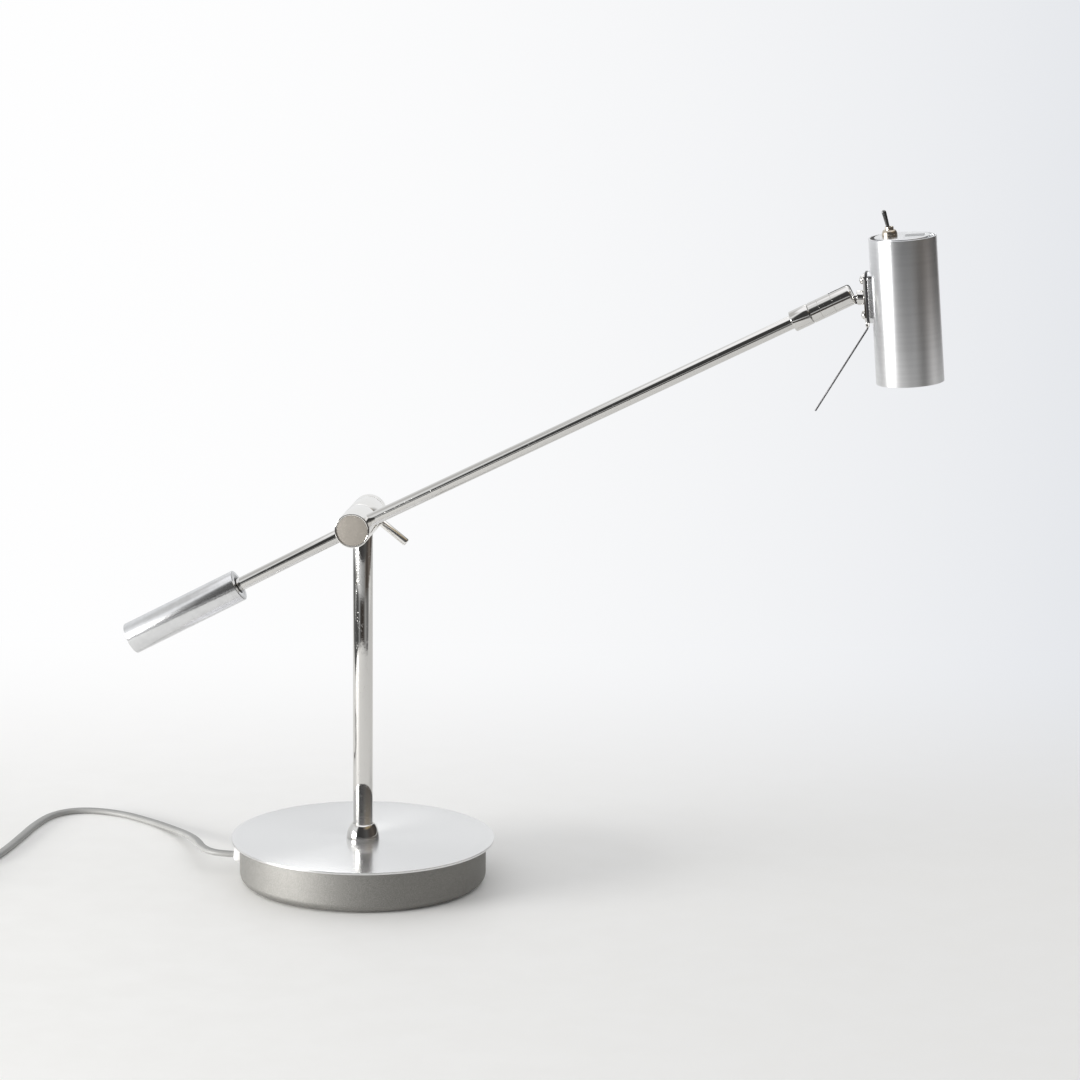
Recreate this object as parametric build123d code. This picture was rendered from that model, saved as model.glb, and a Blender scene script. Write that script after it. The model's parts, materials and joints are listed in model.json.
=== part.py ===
from build123d import *
import math
import os

# Counterweight balance desk lamp, millimetres, +Z up.
# Origin: centre of the base, on the surface that the lamp stands on.
# +X points to the lamp head: the arm swings in a plane parallel to XZ, in front (-Y) of the stem.

# ---- fits -----------------------------------------------------------------------------------
seat = 0.05            # radial clearance of pressed, screwed and running fits
gap = 0.3              # clearance between faces that move past each other

# ---- base -----------------------------------------------------------------------------------
felt_t = 0.6           # felt under the base
felt_inset = 7.0       # felt's edge inside the drum's
shell_r = 75.0         # outside of the drum
shell_wall = 1.2
shell_top = 26.0       # height of the drum's rim, where the disc lies
shell_corner = 5.5     # rounded bottom edge of the drum
dimple_r = 9.0         # recess under the middle of the drum, for the nut
dimple_depth = 7.0
dimple_slope = 2.5
disc_over = 5.0        # how far the disc overhangs the drum
disc_t = 1.5
disc_edge = 0.3
ballast_inset = 5.3    # drum's wall to the ballast ring
ballast_bore_r = 46.0
ballast_t = 17.0
ballast_edge = 1.5
toroid_r = 38.0
toroid_bore_r = 15.0
toroid_clear = 0.6     # thin nut to the disc
toroid_edge = 4.0
clamp_plate_r = 26.0
clamp_plate_t = 1.2
nipple_r = 3.5         # hollow threaded tube that ties the base and the stem together
nipple_bore_r = 2.2
nipple_low = 1.6
nipple_spare = 5.5     # how far it stands above the stem's clip
nut_flats = 12.0
nut_t = 4.6
thin_nut_t = 2.4
clip_groove = 0.5
stem_clip_t = 0.8
grommet_turn = 181.0   # direction of the cable entry, degrees from +X
grommet_z = 12.6
grommet_r = 4.4
grommet_out = 4.5
grommet_neck_r = 3.4
grommet_in = 2.4
grommet_edge = 0.8

# ---- stem -----------------------------------------------------------------------------------
stem_r = 6.0
stem_wall = 1.2
collar_wall = 0.9      # collar round the stem, at its top
collar_flare = 3.0     # how much wider it is at its foot
collar_t = 8.6
collar_swell = 0.55    # how far the collar's curve stands out of a straight taper
collar_rise = 1.1      # and how far its fullest place lies above the middle
collar_floor = 1.6
collar_lip = 0.9
bush_t = 16.0
bush_up = 2.0
plug_t = 16.0
plug_bore_r = 2.0
spigot_r = 3.4
spigot_t = 3.0
socket_depth = 3.3     # how far the stem goes up into the stem head

# ---- pivot: a barrel along Y ----------------------------------------------------------------
pivot_z = 225.2
barrel_r = 10.5
barrel_edge = 0.5
head_front = 8.1       # stem axis to the front face of the stem head
head_len = 24.6
washer_t = 0.8
washer_in = 0.6        # how far the washers' rims lie inside the barrel's
hub_len = 27.3
hub_rim = 1.2          # bright rim round the cap
cap_t = 1.1
cap_sink = 0.25
cap_edge = 0.35
bolt_r = 3.0
bolt_bore_r = 1.3
bolt_head_r = 7.0
bolt_head_t = 3.0
ring_len = 6.8
knurl_teeth = 60
knurl_depth = 0.35
lever_r = 2.4
lever_reach = 29.6     # pivot axis to the lever's tip
lever_turn = 38.4      # degrees below +X
lever_root = 5.0
lever_edge = 1.44

# ---- arm ------------------------------------------------------------------------------------
arm_angle = 27.05      # degrees above level
arm_r = 4.0
arm_wall = 0.9
arm_front = 17.1       # front face of the stem head to the arm's plane
arm_reach = 322.2      # pivot axis to the head's tilt pin
rod_sag = 1.2          # the rear rod points this much lower than the arm's line, degrees
rod_root = 4.6         # pivot axis to the inner ends of arm tube and rod
rod_len = 112.0        # pivot axis to the rod's hidden end
weight_r = 9.65
weight_len = 75.0
weight_start = 80.6    # pivot axis to the weight's inner face
weight_bore_r = 5.2
weight_end = 9.0       # solid end of the weight beyond its bore
weight_edge = 0.35
rod_bush_sink = 2.5
rod_bush_len = 14.0

# ---- swivel and tilt joint at the arm's end -------------------------------------------------
sleeve_r = 6.2
sleeve_len = 11.6
sleeve_edge = 0.4
tube_in_sleeve = 6.4
knuckle_len = 27.0
knuckle_nose = 6.6     # tilt pin to the knuckle's end
knuckle_round = 1.8
groove_places = (6.1, 14.4)   # fine turned lines, from the knuckle's seam
groove_w = 0.35
groove_depth = 0.25
stud_r = 3.0
stud_bore_r = 1.7
stud_len = 16.0
stud_neck = 0.45
clip_clear = 0.5       # clip's rim to the cavity round it
clip_t = 0.7
clip_back = 2.0        # stud end to the clip
cavity_wall = 1.4
cavity_len = 4.0
slot_clear = 0.2       # knuckle's slot on each side of the tongue
slot_back = 6.4        # tilt pin to the slot's bottom
pin_r = 1.5
pin_short = 0.15       # the pin's ends lie this far inside the knuckle
lead_r = 0.6
lead_pair = 1.3        # distance between the two cores

# ---- head -----------------------------------------------------------------------------------
head_tilt = 4.53       # top of the head leans back this much, degrees
head_wall = 1.1
head_h = 85.3
head_edge = 0.3
pin_out = 12.7         # tilt pin to the bracket's outer face
tongue_t = 3.0
tongue_h = 3.0
eye_r = 2.9
boss_r = 4.35
boss_t = 4.3
boss_edge = 0.5
tongue_stud_r = 2.0
plate_t = 1.2
gasket_t = 1.4
bracket_w = 12.0
bracket_h = 28.2
bracket_corner = 3.0
gasket_over = 0.8      # how far the gasket and the saddle stand out round the plate
saddle_t = 1.4         # least thickness of the saddle between the gasket and the tube
screw_in = 3.85        # bracket plate's end to a screw's axis
screw_r = 1.5
screw_head_r = 2.75
screw_head_t = 2.5
screw_dome = 1.9
screw_nut_flats = 5.5
screw_nut_t = 2.4
stud_nut_flats = 7.0
stud_nut_t = 3.0
spare_thread = 1.0     # how far a screw stands out of its nut
lead_drop = 3.0        # cores below the tilt pin
lead_back = 3.0        # tilt pin to the cores' inner ends
lead_clear = 0.1
handle_r = 0.5
handle_drop = 3.4      # bracket's lower edge to the handle's bend
handle_len = 57.7
handle_lean = 35.2     # handle's lean from the head's axis, towards the arm, degrees
handle_bend = 2.5
handle_edge = 0.4
handle_in = 0.9        # handle's root to the bracket's outer face
ferrule_r = 1.1
ferrule_len = 2.6

# ---- top of the head and switch -------------------------------------------------------------
top_t = 1.5
top_in = 2.4           # air gap between the tube and the top's raised middle
top_rise = 0.5         # top's face above the tube's rim
top_step = 2.4         # top's face to the shoulder that fills the tube's bore
top_skirt = 4.0
top_skirt_wall = 1.0
top_round = 0.6
vent_count = 3
vent_len = 12.0
vent_w = 1.6
vent_pitch = 3.4
vent_x = 7.5
switch_x = 7.3         # head axis to the switch's axis, on the arm's side
switch_body_x = 12.7
switch_body_y = 7.0
switch_body_h = 9.0
lug_pitch = 4.7
lug_h = 3.5
lug_w = 2.0
lug_t = 0.8
bushing_r = 2.5
bushing_h = 5.6
bushing_lip = 0.4
bushing_edge = 0.3
throat_r = 1.8
switch_nut_r = 4.5
switch_nut_side = 1.0
switch_nut_h = 3.8
switch_nut_top_r = 3.0
switch_nut_draw = 0.4  # how far the dome has drawn in at half its height
toggle_up = 2.0        # toggle pivot above the head's top plate
toggle_lean = 12.0
toggle_len = 13.6
toggle_r = 0.95
toggle_tip_r = 1.35
toggle_ball_r = 1.5
toggle_tail = 2.6
toggle_tail_r = 0.7

# ---- lamp -----------------------------------------------------------------------------------
lamp_r = 17.5          # standard 35 mm reflector lamp, which the head is sized round
lamp_gap = 1.2         # lamp to the head's bore
lamp_sink = 7.0        # lamp's rim above the head's mouth
lamp_rim = 1.6
bowl_depth = 19.0
bowl_wall = 1.2
bowl_neck_r = 6.5
bowl_swell = 0.72      # middle of the bowl's curve, as a share of its depth
bowl_swell_r = 12.6
lamp_base_x = 13.0
lamp_base_y = 9.0
lamp_base_h = 9.0
lens_t = 1.2
capsule_r = 3.6
capsule_len = 11.0
capsule_end = 0.9      # rounding of the capsule's end, as a share of its radius
lamp_pin_r = 0.5
lamp_pin_pitch = 4.0
lamp_pin_len = 6.5
socket_r = 7.5
socket_h = 11.0
keeper_t = 0.8
keeper_w = 2.2
leaf_t = 1.0           # sheet of the socket bracket
leaf_w = 10.0
leaf_gap = 0.7         # back of the bracket's upright leaf to the head's bore
leaf_over = 4.5        # upright leaf above and below its screws
shelf_end = 7.0
shelf_clear = 0.45     # shelf to the nut of the tongue's stud above it
socket_screw_r = 1.25
socket_screw_len = 3.7
socket_head_r = 2.5
socket_head_t = 1.25

# ---- mains cord -----------------------------------------------------------------------------
cord_r = 2.2           # round section of the same area as the flat 5.6 x 3.2 lead
arc_share = 0.45       # arc at a corner, as a share of its shorter run
gap_samples = 900      # places along the coil where its gap to itself is measured
# route over the table, from the grommet's face to the coil, chosen by hand
cord_steps = [
    (-92.0, -1.606, 12.6),
    (-102.3, 8.4, 12.8),
    (-109.2, 28.0, 10.8),
    (-119.0, 52.5, 6.8),
    (-133.0, 76.5, 3.4),
    (-154.0, 98.5, cord_r),
    (-180.0, 116.0, cord_r),
    (-206.0, 119.5, cord_r),
    (-221.0, 105.5, cord_r),
    (-226.0, 79.0, cord_r),
    (-227.5, 50.0, cord_r),
    (-229.5, 21.0, cord_r),
    (-233.0, -4.0, cord_r),
    (-240.5, -20.0, cord_r),
    (-247.0, -33.5, cord_r),
]
coil_start = (-247.0, -48.0, cord_r)
coil_r = 42.0          # outermost turn, to the middle of the cord
coil_pitch = 6.0
coil_gap = 0.5         # gap between the coil's two layers
coil_half_turns = 6    # half turns wound in, and out again above
# the tail's points beyond the coil's end, on the table's X and Y
tail_steps = [(0.0, 12.5), (-4.2, 25.5), (-10.6, 37.0)]
plug_w = 35.0
plug_h = 13.7
plug_len = 33.0
plug_straight = 17.0
plug_back_w = 12.0
plug_edge = 2.5
relief_len = 22.0
relief_r = 4.6
relief_tip_r = 3.2
prong_r = 2.0
prong_len = 19.0
prong_pitch = 18.6
prong_edge = 1.4

# ---- places that follow from the sizes ------------------------------------------------------
shell_bore_r = shell_r - shell_wall
shell_floor = felt_t + shell_wall
felt_r = shell_r - felt_inset
disc_r = shell_r + disc_over
ballast_r = shell_bore_r - ballast_inset
disc_top = shell_top + disc_t
dimple_under = felt_t + dimple_depth
clamp_plate_z = shell_top - toroid_clear - thin_nut_t - clamp_plate_t
stem_foot = disc_top + collar_floor + gap
stem_top = pivot_z - barrel_r + socket_depth
stem_bore_r = stem_r - stem_wall
collar_top_r = stem_r + collar_wall
collar_r = collar_top_r + collar_flare
bush_z = stem_foot + bush_up
stem_clip_z = bush_z + bush_t + gap
stem_clip_r = stem_bore_r - gap
nipple_top = stem_clip_z + stem_clip_t + nipple_spare
washer_r = barrel_r - washer_in
hub_back = -head_front - washer_t
hub_face = hub_back - hub_len
cap_face = hub_face + cap_sink
bolt_face = cap_face + cap_t
arm_y = -head_front - arm_front
head_back = head_len - head_front
ring_front = head_back + washer_t
ring_back = ring_front + ring_len
weight_bore_len = weight_len - weight_end
knuckle_start = arm_reach + knuckle_nose - knuckle_len
knuckle_end = arm_reach + knuckle_nose
sleeve_start = knuckle_start - gap - sleeve_len
stud_start = sleeve_start + tube_in_sleeve
stud_end = stud_start + stud_len
clip_x = stud_end - clip_back - clip_t
cavity_x = clip_x - gap
cavity_r = sleeve_r - cavity_wall
clip_r = cavity_r - clip_clear
slot_w = tongue_t + 2 * slot_clear
head_bore_r = lamp_r + lamp_gap
head_r = head_bore_r + head_wall
head_mouth = -head_h / 2
top_face = head_h / 2 + top_rise
top_r = head_bore_r - top_in
lamp_face = head_mouth + lamp_sink
lamp_top = lamp_face + bowl_depth + lamp_base_h
shelf_z = lamp_top + socket_h
pin_above = shelf_z + leaf_t + shelf_clear + stud_nut_flats / 2
saddle_out = head_r + saddle_t
bracket_out = saddle_out + gasket_t + plate_t
bracket_low = pin_above - bracket_h / 2 - gasket_over
screw_spacing = bracket_h - 2 * screw_in
pin_to_axis = bracket_out + pin_out
handle_x = bracket_out - handle_in
lead_slot_r = lead_r + lead_clear
leaf_x = head_bore_r - leaf_gap
leaf_face = leaf_x - leaf_t
toggle_z = top_face + toggle_up
coil_layer = 2 * cord_r + coil_gap

arm_frame = Location((0, arm_y, pivot_z), (0, -arm_angle, 0))
rod_frame = Location((0, arm_y, pivot_z), (0, 180 - arm_angle - rod_sag, 0))
lever_frame = Location((0, (ring_front + ring_back) / 2, pivot_z), (0, lever_turn, 0))
head_frame = (
    Location((arm_frame * Pos(arm_reach, 0, 0)).position)
    * Location((0, 0, 0), (0, -head_tilt, 0))
    * Pos(pin_to_axis, 0, -pin_above)
)
toggle_frame = head_frame * Pos(-switch_x, 0, toggle_z) * Rot(0, -toggle_lean, 0)
grommet_frame = Location((0, 0, grommet_z), (0, 0, grommet_turn))


# ---- helpers --------------------------------------------------------------------------------
def bar(axis, sketch, start, end, at=(0, 0)):
    """Extrudes a sketch along X, Y or Z from start to end; at is its place on the other two axes."""
    places = {
        "X": Plane((start, at[0], at[1]), x_dir=(0, 1, 0), z_dir=(1, 0, 0)),
        "Y": Plane((at[0], start, at[1]), x_dir=(1, 0, 0), z_dir=(0, 1, 0)),
        "Z": Plane((at[0], at[1], start), x_dir=(1, 0, 0), z_dir=(0, 0, 1)),
    }
    return extrude(places[axis] * sketch, end - start)


def rod(axis, radius, start, end, at=(0, 0)):
    return bar(axis, Circle(radius), start, end, at)


def tube(axis, outer, inner, start, end, at=(0, 0)):
    return rod(axis, outer, start, end, at) - rod(axis, inner, start, end, at)


def nut(axis, flats, bore, start, end, at=(0, 0)):
    return bar(axis, RegularPolygon(flats / 2, 6, major_radius=False) - Circle(bore), start, end, at)


def block(x, y, z):
    """A box from three (low, high) pairs."""
    middle = [(low + high) / 2 for low, high in (x, y, z)]
    return Pos(*middle) * Box(x[1] - x[0], y[1] - y[0], z[1] - z[0])


def turned(*lines):
    """A solid turned about Z from a closed outline of lines and arcs in the XZ plane."""
    return revolve(make_face(Curve() + list(lines)), Axis.Z)


def outline(*points):
    return Polyline(*[(r, 0, z) for r, z in points])


def end_edges(shape, axis, end):
    """The edges at the low (0) or high (-1) end of a shape along an axis."""
    return shape.edges().group_by(axis)[end]


# ---- base -----------------------------------------------------------------------------------
def base_felt():
    return rod("Z", felt_r, 0, felt_t)


def drum_shell():
    outside = rod("Z", shell_r, felt_t, shell_top)
    outside = fillet(end_edges(outside, Axis.Z, 0), shell_corner)
    inside = rod("Z", shell_bore_r, shell_floor, shell_top)
    inside = fillet(end_edges(inside, Axis.Z, 0), shell_corner - shell_wall)
    foot = (Align.CENTER, Align.CENTER, Align.MIN)
    cover = Pos(0, 0, felt_t) * Cone(dimple_r + dimple_slope + shell_wall, dimple_r + shell_wall,
                                     dimple_depth + shell_wall, align=foot)
    recess = Pos(0, 0, felt_t) * Cone(dimple_r + dimple_slope, dimple_r, dimple_depth, align=foot)
    hole = rod("Z", nipple_r + seat, 0, shell_top)
    entry = grommet_frame * rod("X", grommet_neck_r + seat, shell_bore_r - grommet_in, shell_r + grommet_out)
    return (outside - inside) + cover - recess - hole - entry


def base_disc():
    disc = tube("Z", disc_r, nipple_r + seat, shell_top, disc_top)
    return chamfer(disc.edges().filter_by(GeomType.CIRCLE).group_by(SortBy.RADIUS)[-1], disc_edge)


def ballast_ring():
    ring = tube("Z", ballast_r, ballast_bore_r, shell_floor, shell_floor + ballast_t)
    return chamfer(ring.edges().filter_by(GeomType.CIRCLE), ballast_edge)


def transformer():
    ring = tube("Z", toroid_r, toroid_bore_r, shell_floor, clamp_plate_z)
    return fillet(ring.edges().filter_by(GeomType.CIRCLE), toroid_edge)


def transformer_clamp():
    return tube("Z", clamp_plate_r, nipple_r + seat, clamp_plate_z, clamp_plate_z + clamp_plate_t)


def transformer_nut():
    low = clamp_plate_z + clamp_plate_t
    return nut("Z", nut_flats, nipple_r + seat, low, low + thin_nut_t)


def base_nut():
    return nut("Z", nut_flats, nipple_r + seat, dimple_under - nut_t, dimple_under)


def base_nipple():
    thread = tube("Z", nipple_r, nipple_bore_r, nipple_low, nipple_top)
    return thread - tube("Z", nipple_r + seat, nipple_r - clip_groove, stem_clip_z - seat,
                         stem_clip_z + stem_clip_t + seat)


def stem_clip():
    return tube("Z", stem_clip_r, nipple_r - clip_groove + seat, stem_clip_z, stem_clip_z + stem_clip_t)


def stem_collar():
    low, lip, high = disc_top, disc_top + collar_lip, disc_top + collar_t
    middle = ((collar_r + collar_top_r) / 2 + collar_swell, (lip + high) / 2 + collar_rise)
    bore = stem_r + seat
    return turned(
        outline((nipple_r + seat, low), (collar_r, low), (collar_r, lip)),
        ThreePointArc((collar_r, 0, lip), (middle[0], 0, middle[1]), (collar_top_r, 0, high)),
        outline((collar_top_r, high), (bore, high), (bore, low + collar_floor),
                (nipple_r + seat, low + collar_floor), (nipple_r + seat, low)),
    )


def cable_grommet():
    """White bush with a flange each side of the drum's wall, along the entry's own X axis."""
    flange = rod("X", grommet_r, shell_bore_r, shell_r + grommet_out)
    flange = fillet(end_edges(flange, Axis.X, -1), grommet_edge)
    inner = rod("X", grommet_r, shell_bore_r - grommet_in, shell_bore_r - seat)
    neck = rod("X", grommet_neck_r, shell_bore_r - grommet_in, shell_r + seat)
    outer = flange - rod("Z", shell_r, -grommet_r * 2, grommet_r * 2)
    inner = inner & rod("Z", shell_bore_r - seat, -grommet_r * 2, grommet_r * 2)
    return grommet_frame * (outer + neck + inner)


# ---- stem -----------------------------------------------------------------------------------
def stem_tube():
    return tube("Z", stem_r, stem_bore_r, stem_foot, stem_top)


def stem_bush():
    return tube("Z", stem_bore_r - seat, nipple_r + seat, bush_z, bush_z + bush_t)


def stem_plug():
    body = rod("Z", stem_bore_r - seat, stem_top - plug_t, stem_top)
    return body + rod("Z", spigot_r, stem_top, stem_top + spigot_t) - rod(
        "Z", plug_bore_r, stem_top - plug_t, stem_top + spigot_t)


def stem_lead():
    ends = (clamp_plate_z, stem_top)
    return Compound([rod("Z", lead_r, *ends, at=(side * lead_pair / 2, 0)) for side in (-1, 1)])


def stem_head():
    body = rod("Y", barrel_r, -head_front, head_back, at=(0, pivot_z))
    body = chamfer(body.edges().filter_by(GeomType.CIRCLE), barrel_edge)
    body -= rod("Y", bolt_r + seat, -head_front, head_back, at=(0, pivot_z))
    return body - rod("Z", stem_r + seat, pivot_z - 2 * barrel_r, stem_top) - rod(
        "Z", spigot_r + seat, stem_top, stem_top + spigot_t + seat)


def friction_washers():
    return Compound([
        tube("Y", washer_r, bolt_r + seat, low, low + washer_t, at=(0, pivot_z))
        for low in (hub_back, head_back)
    ])


# ---- clamp ----------------------------------------------------------------------------------
def clamp_ring():
    """Ring with straight serrations all round, drawn as one toothed outline."""
    rim = []
    for tooth in range(knurl_teeth):
        for share, radius in ((0, barrel_r), (0.5, barrel_r - knurl_depth)):
            turn = 2 * math.pi * (tooth + share) / knurl_teeth
            rim.append((radius * math.cos(turn), radius * math.sin(turn)))
    toothed = bar("Y", make_face(Polyline(*rim, close=True)), ring_front, ring_back, at=(0, pivot_z))
    blank = rod("Y", barrel_r, ring_front, ring_back, at=(0, pivot_z))
    blank = chamfer(blank.edges().filter_by(GeomType.CIRCLE), barrel_edge)
    ring = (toothed & blank) - rod("Y", bolt_r + seat, ring_front, ring_back, at=(0, pivot_z))
    return ring - lever_frame * rod("X", lever_r + seat, lever_root, barrel_r + seat)


def clamp_lever():
    lever = rod("X", lever_r, lever_root, lever_reach)
    return lever_frame * fillet(end_edges(lever, Axis.X, -1), lever_edge)


# ---- arm ------------------------------------------------------------------------------------
def arm_hub():
    hub = rod("Y", barrel_r, hub_face, hub_back, at=(0, pivot_z))
    hub = chamfer(hub.edges().filter_by(GeomType.CIRCLE), barrel_edge)
    hub -= rod("Y", bolt_r + seat, hub_face, hub_back, at=(0, pivot_z))
    hub -= rod("Y", barrel_r - hub_rim, hub_face, bolt_face + seat, at=(0, pivot_z))
    hub -= rod("Y", bolt_head_r + seat, hub_face, bolt_face + seat + bolt_head_t, at=(0, pivot_z))
    for frame in (arm_frame, rod_frame):
        hub -= frame * rod("X", arm_r + seat, rod_root, 2 * barrel_r)
    return hub


def hub_cap():
    cap = rod("Y", barrel_r - hub_rim - seat, cap_face, cap_face + cap_t, at=(0, pivot_z))
    return fillet(end_edges(cap, Axis.Y, 0), cap_edge)


def pivot_bolt():
    head = rod("Y", bolt_head_r, bolt_face + seat, bolt_face + seat + bolt_head_t, at=(0, pivot_z))
    shank = rod("Y", bolt_r, bolt_face + seat, ring_back - gap, at=(0, pivot_z))
    return head + shank - rod("Y", bolt_bore_r, bolt_face, ring_back, at=(0, pivot_z))


def arm_tube():
    return arm_frame * tube("X", arm_r, arm_r - arm_wall, rod_root, stud_start)


def arm_lead():
    return Compound([
        arm_frame * rod("X", lead_r, rod_root, stud_end, at=(side * lead_pair / 2, 0)) for side in (-1, 1)
    ])


def rear_rod():
    return rod_frame * rod("X", arm_r, rod_root, rod_len)


def counterweight():
    end = weight_start + weight_len
    body = rod("X", weight_r, weight_start, end)
    body = chamfer(body.edges().filter_by(GeomType.CIRCLE), weight_edge)
    return rod_frame * (body - rod("X", weight_bore_r, weight_start, weight_start + weight_bore_len))


def weight_bush():
    low = weight_start + rod_bush_sink
    return rod_frame * tube("X", weight_bore_r - seat, arm_r + seat, low, low + rod_bush_len)


def arm_sleeve():
    end = sleeve_start + sleeve_len
    sleeve = rod("X", sleeve_r, sleeve_start, end)
    sleeve = chamfer(sleeve.edges().filter_by(GeomType.CIRCLE), sleeve_edge)
    sleeve -= rod("X", arm_r + seat, sleeve_start, stud_start)
    return arm_frame * (sleeve - rod("X", stud_r + seat, stud_start, end))


def swivel_stud():
    stud = tube("X", stud_r, stud_bore_r, stud_start, stud_end)
    neck = tube("X", stud_r + seat, stud_r - stud_neck, clip_x - seat, clip_x + clip_t + seat)
    return arm_frame * (stud - neck)


def swivel_clip():
    return arm_frame * tube("X", clip_r, stud_r - stud_neck + seat, clip_x, clip_x + clip_t)


# ---- swivel knuckle -------------------------------------------------------------------------
def swivel_knuckle():
    body = rod("X", sleeve_r, knuckle_start, knuckle_end)
    body = chamfer(end_edges(body, Axis.X, 0), sleeve_edge)
    body = fillet(end_edges(body, Axis.X, -1), knuckle_round)
    body -= rod("X", stud_r + seat, knuckle_start, cavity_x)
    body -= rod("X", cavity_r, cavity_x, cavity_x + cavity_len)
    slot_x = arm_reach - slot_back
    body -= rod("X", stud_bore_r, cavity_x, slot_x)
    body -= block((slot_x, knuckle_end + seat), (-slot_w / 2, slot_w / 2), (-2 * sleeve_r, 2 * sleeve_r))
    body -= rod("Y", pin_r + seat, -sleeve_r, sleeve_r, at=(arm_reach, 0))
    for place in groove_places:
        low = knuckle_start + place
        body -= tube("X", sleeve_r + seat, sleeve_r - groove_depth, low, low + groove_w)
    return arm_frame * body


def knuckle_pin():
    return arm_frame * rod("Y", pin_r, -sleeve_r + pin_short, sleeve_r - pin_short, at=(arm_reach, 0))


# ---- head: bracket and handle ---------------------------------------------------------------
def screw_places():
    return [pin_above + side * screw_spacing / 2 for side in (-1, 1)]


def drilled(shape):
    """Takes out the holes that the bracket's fixings pass through, on the arm's side of the head."""
    for z in screw_places():
        shape -= rod("X", screw_r + seat, -bracket_out - seat, 0, at=(0, z))
    shape -= rod("X", tongue_stud_r + seat, -bracket_out - seat, 0, at=(0, pin_above))
    leads = SlotCenterToCenter(lead_pair, 2 * lead_slot_r)
    return shape - bar("X", leads, -bracket_out - boss_t - seat, 0, at=(0, pin_above - lead_drop))


def bracket_sheet(over, start, end):
    """One layer of the bracket, larger all round than the outer plate by over."""
    layer = RectangleRounded(bracket_w + 2 * over, bracket_h + 2 * over, bracket_corner + over)
    return bar("X", layer, start, end, at=(0, pin_above))


def bracket_plate():
    return head_frame * drilled(bracket_sheet(0, -bracket_out, -bracket_out + plate_t))


def bracket_gasket():
    return head_frame * drilled(bracket_sheet(gasket_over, -bracket_out + plate_t, -saddle_out))


def bracket_saddle():
    saddle = bracket_sheet(gasket_over, -saddle_out, -head_r / 2) - rod("Z", head_r, -head_h, head_h)
    return head_frame * drilled(saddle)


def tilt_tongue():
    """Flat tongue on the tilt pin, with the boss and stud that carry the head."""
    boss_x = -bracket_out - boss_t
    eye = rod("Y", eye_r, -tongue_t / 2, tongue_t / 2, at=(-pin_to_axis, pin_above))
    bar_ = block((-pin_to_axis, boss_x), (-tongue_t / 2, tongue_t / 2),
                 (pin_above - tongue_h / 2, pin_above + tongue_h / 2))
    boss = rod("X", boss_r, boss_x, -bracket_out, at=(0, pin_above))
    boss = chamfer(end_edges(boss, Axis.X, 0), boss_edge)
    stud = rod("X", tongue_stud_r, -bracket_out, -leaf_face + stud_nut_t + spare_thread, at=(0, pin_above))
    tongue = eye + bar_ + boss + stud
    leads = SlotCenterToCenter(lead_pair, 2 * lead_slot_r)
    tongue -= bar("X", leads, boss_x - seat, -bracket_out + seat, at=(0, pin_above - lead_drop))
    return head_frame * (tongue - rod("Y", pin_r + seat, -tongue_t, tongue_t, at=(-pin_to_axis, pin_above)))


def bracket_screws():
    screws = []
    end = -leaf_face + screw_nut_t + spare_thread
    for z in screw_places():
        head = rod("X", screw_head_r, -bracket_out - screw_head_t, -bracket_out, at=(0, z))
        head = fillet(end_edges(head, Axis.X, 0), screw_dome)
        screws.append(head + rod("X", screw_r, -bracket_out - seat, end, at=(0, z)))
    return Compound([head_frame * screw for screw in screws])


def bracket_nuts():
    """The two screws' nuts and, between them, the larger nut of the tongue's stud."""
    nuts = [
        nut("X", screw_nut_flats, screw_r + seat, -leaf_face, -leaf_face + screw_nut_t, at=(0, z))
        for z in screw_places()
    ]
    nuts.append(nut("X", stud_nut_flats, tongue_stud_r + seat, -leaf_face, -leaf_face + stud_nut_t,
                    at=(0, pin_above)))
    return Compound([head_frame * nut_ for nut_ in nuts])


def handle_ferrule():
    ferrule = tube("Z", ferrule_r, handle_r + seat, bracket_low - ferrule_len, bracket_low, at=(-handle_x, 0))
    return head_frame * ferrule


def tilt_handle():
    """Thin steel wire that the hot head is tilted by."""
    lean = math.radians(handle_lean)
    bend = (-handle_x, 0, bracket_low - handle_drop)
    tip = (bend[0] - handle_len * math.sin(lean), 0, bend[2] - handle_len * math.cos(lean))
    path = FilletPolyline((-handle_x, 0, bracket_low), bend, tip, radius=handle_bend)
    wire = sweep((path ^ 0) * Circle(handle_r), path=path)
    return head_frame * fillet(wire.edges().filter_by(GeomType.CIRCLE).group_by(Axis.Z)[0], handle_edge)


def head_leads():
    high = pin_above - lead_drop
    return Compound([
        head_frame * rod("X", lead_r, -pin_to_axis + lead_back, -leaf_x, at=(side * lead_pair / 2, high))
        for side in (-1, 1)
    ])


# ---- head: tube, top and switch -------------------------------------------------------------
def head_tube():
    shell = tube("Z", head_r, head_bore_r, head_mouth, -head_mouth)
    shell = chamfer(shell.edges().filter_by(GeomType.CIRCLE), head_edge)
    return head_frame * drilled(shell)


def head_top():
    """Stepped cap: its shoulder fills the tube's bore, its raised middle carries the switch."""
    low, shoulder = top_face - top_t, top_face - top_step
    foot, outer = shoulder - top_skirt, head_bore_r - seat
    top = turned(outline(
        (0, top_face), (top_r, top_face), (top_r, shoulder), (outer, shoulder), (outer, foot),
        (outer - top_skirt_wall, foot), (outer - top_skirt_wall, shoulder - top_skirt_wall),
        (top_r - top_skirt_wall, shoulder - top_skirt_wall), (top_r - top_skirt_wall, low), (0, low),
        (0, top_face)))
    top = fillet(end_edges(top, Axis.Z, -1), top_round)
    for row in range(vent_count):
        y = (row - (vent_count - 1) / 2) * vent_pitch
        top -= bar("Z", SlotOverall(vent_len, vent_w), low, top_face, at=(vent_x, y))
    return head_frame * (top - rod("Z", bushing_r + seat, low, top_face, at=(-switch_x, 0)))


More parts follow.
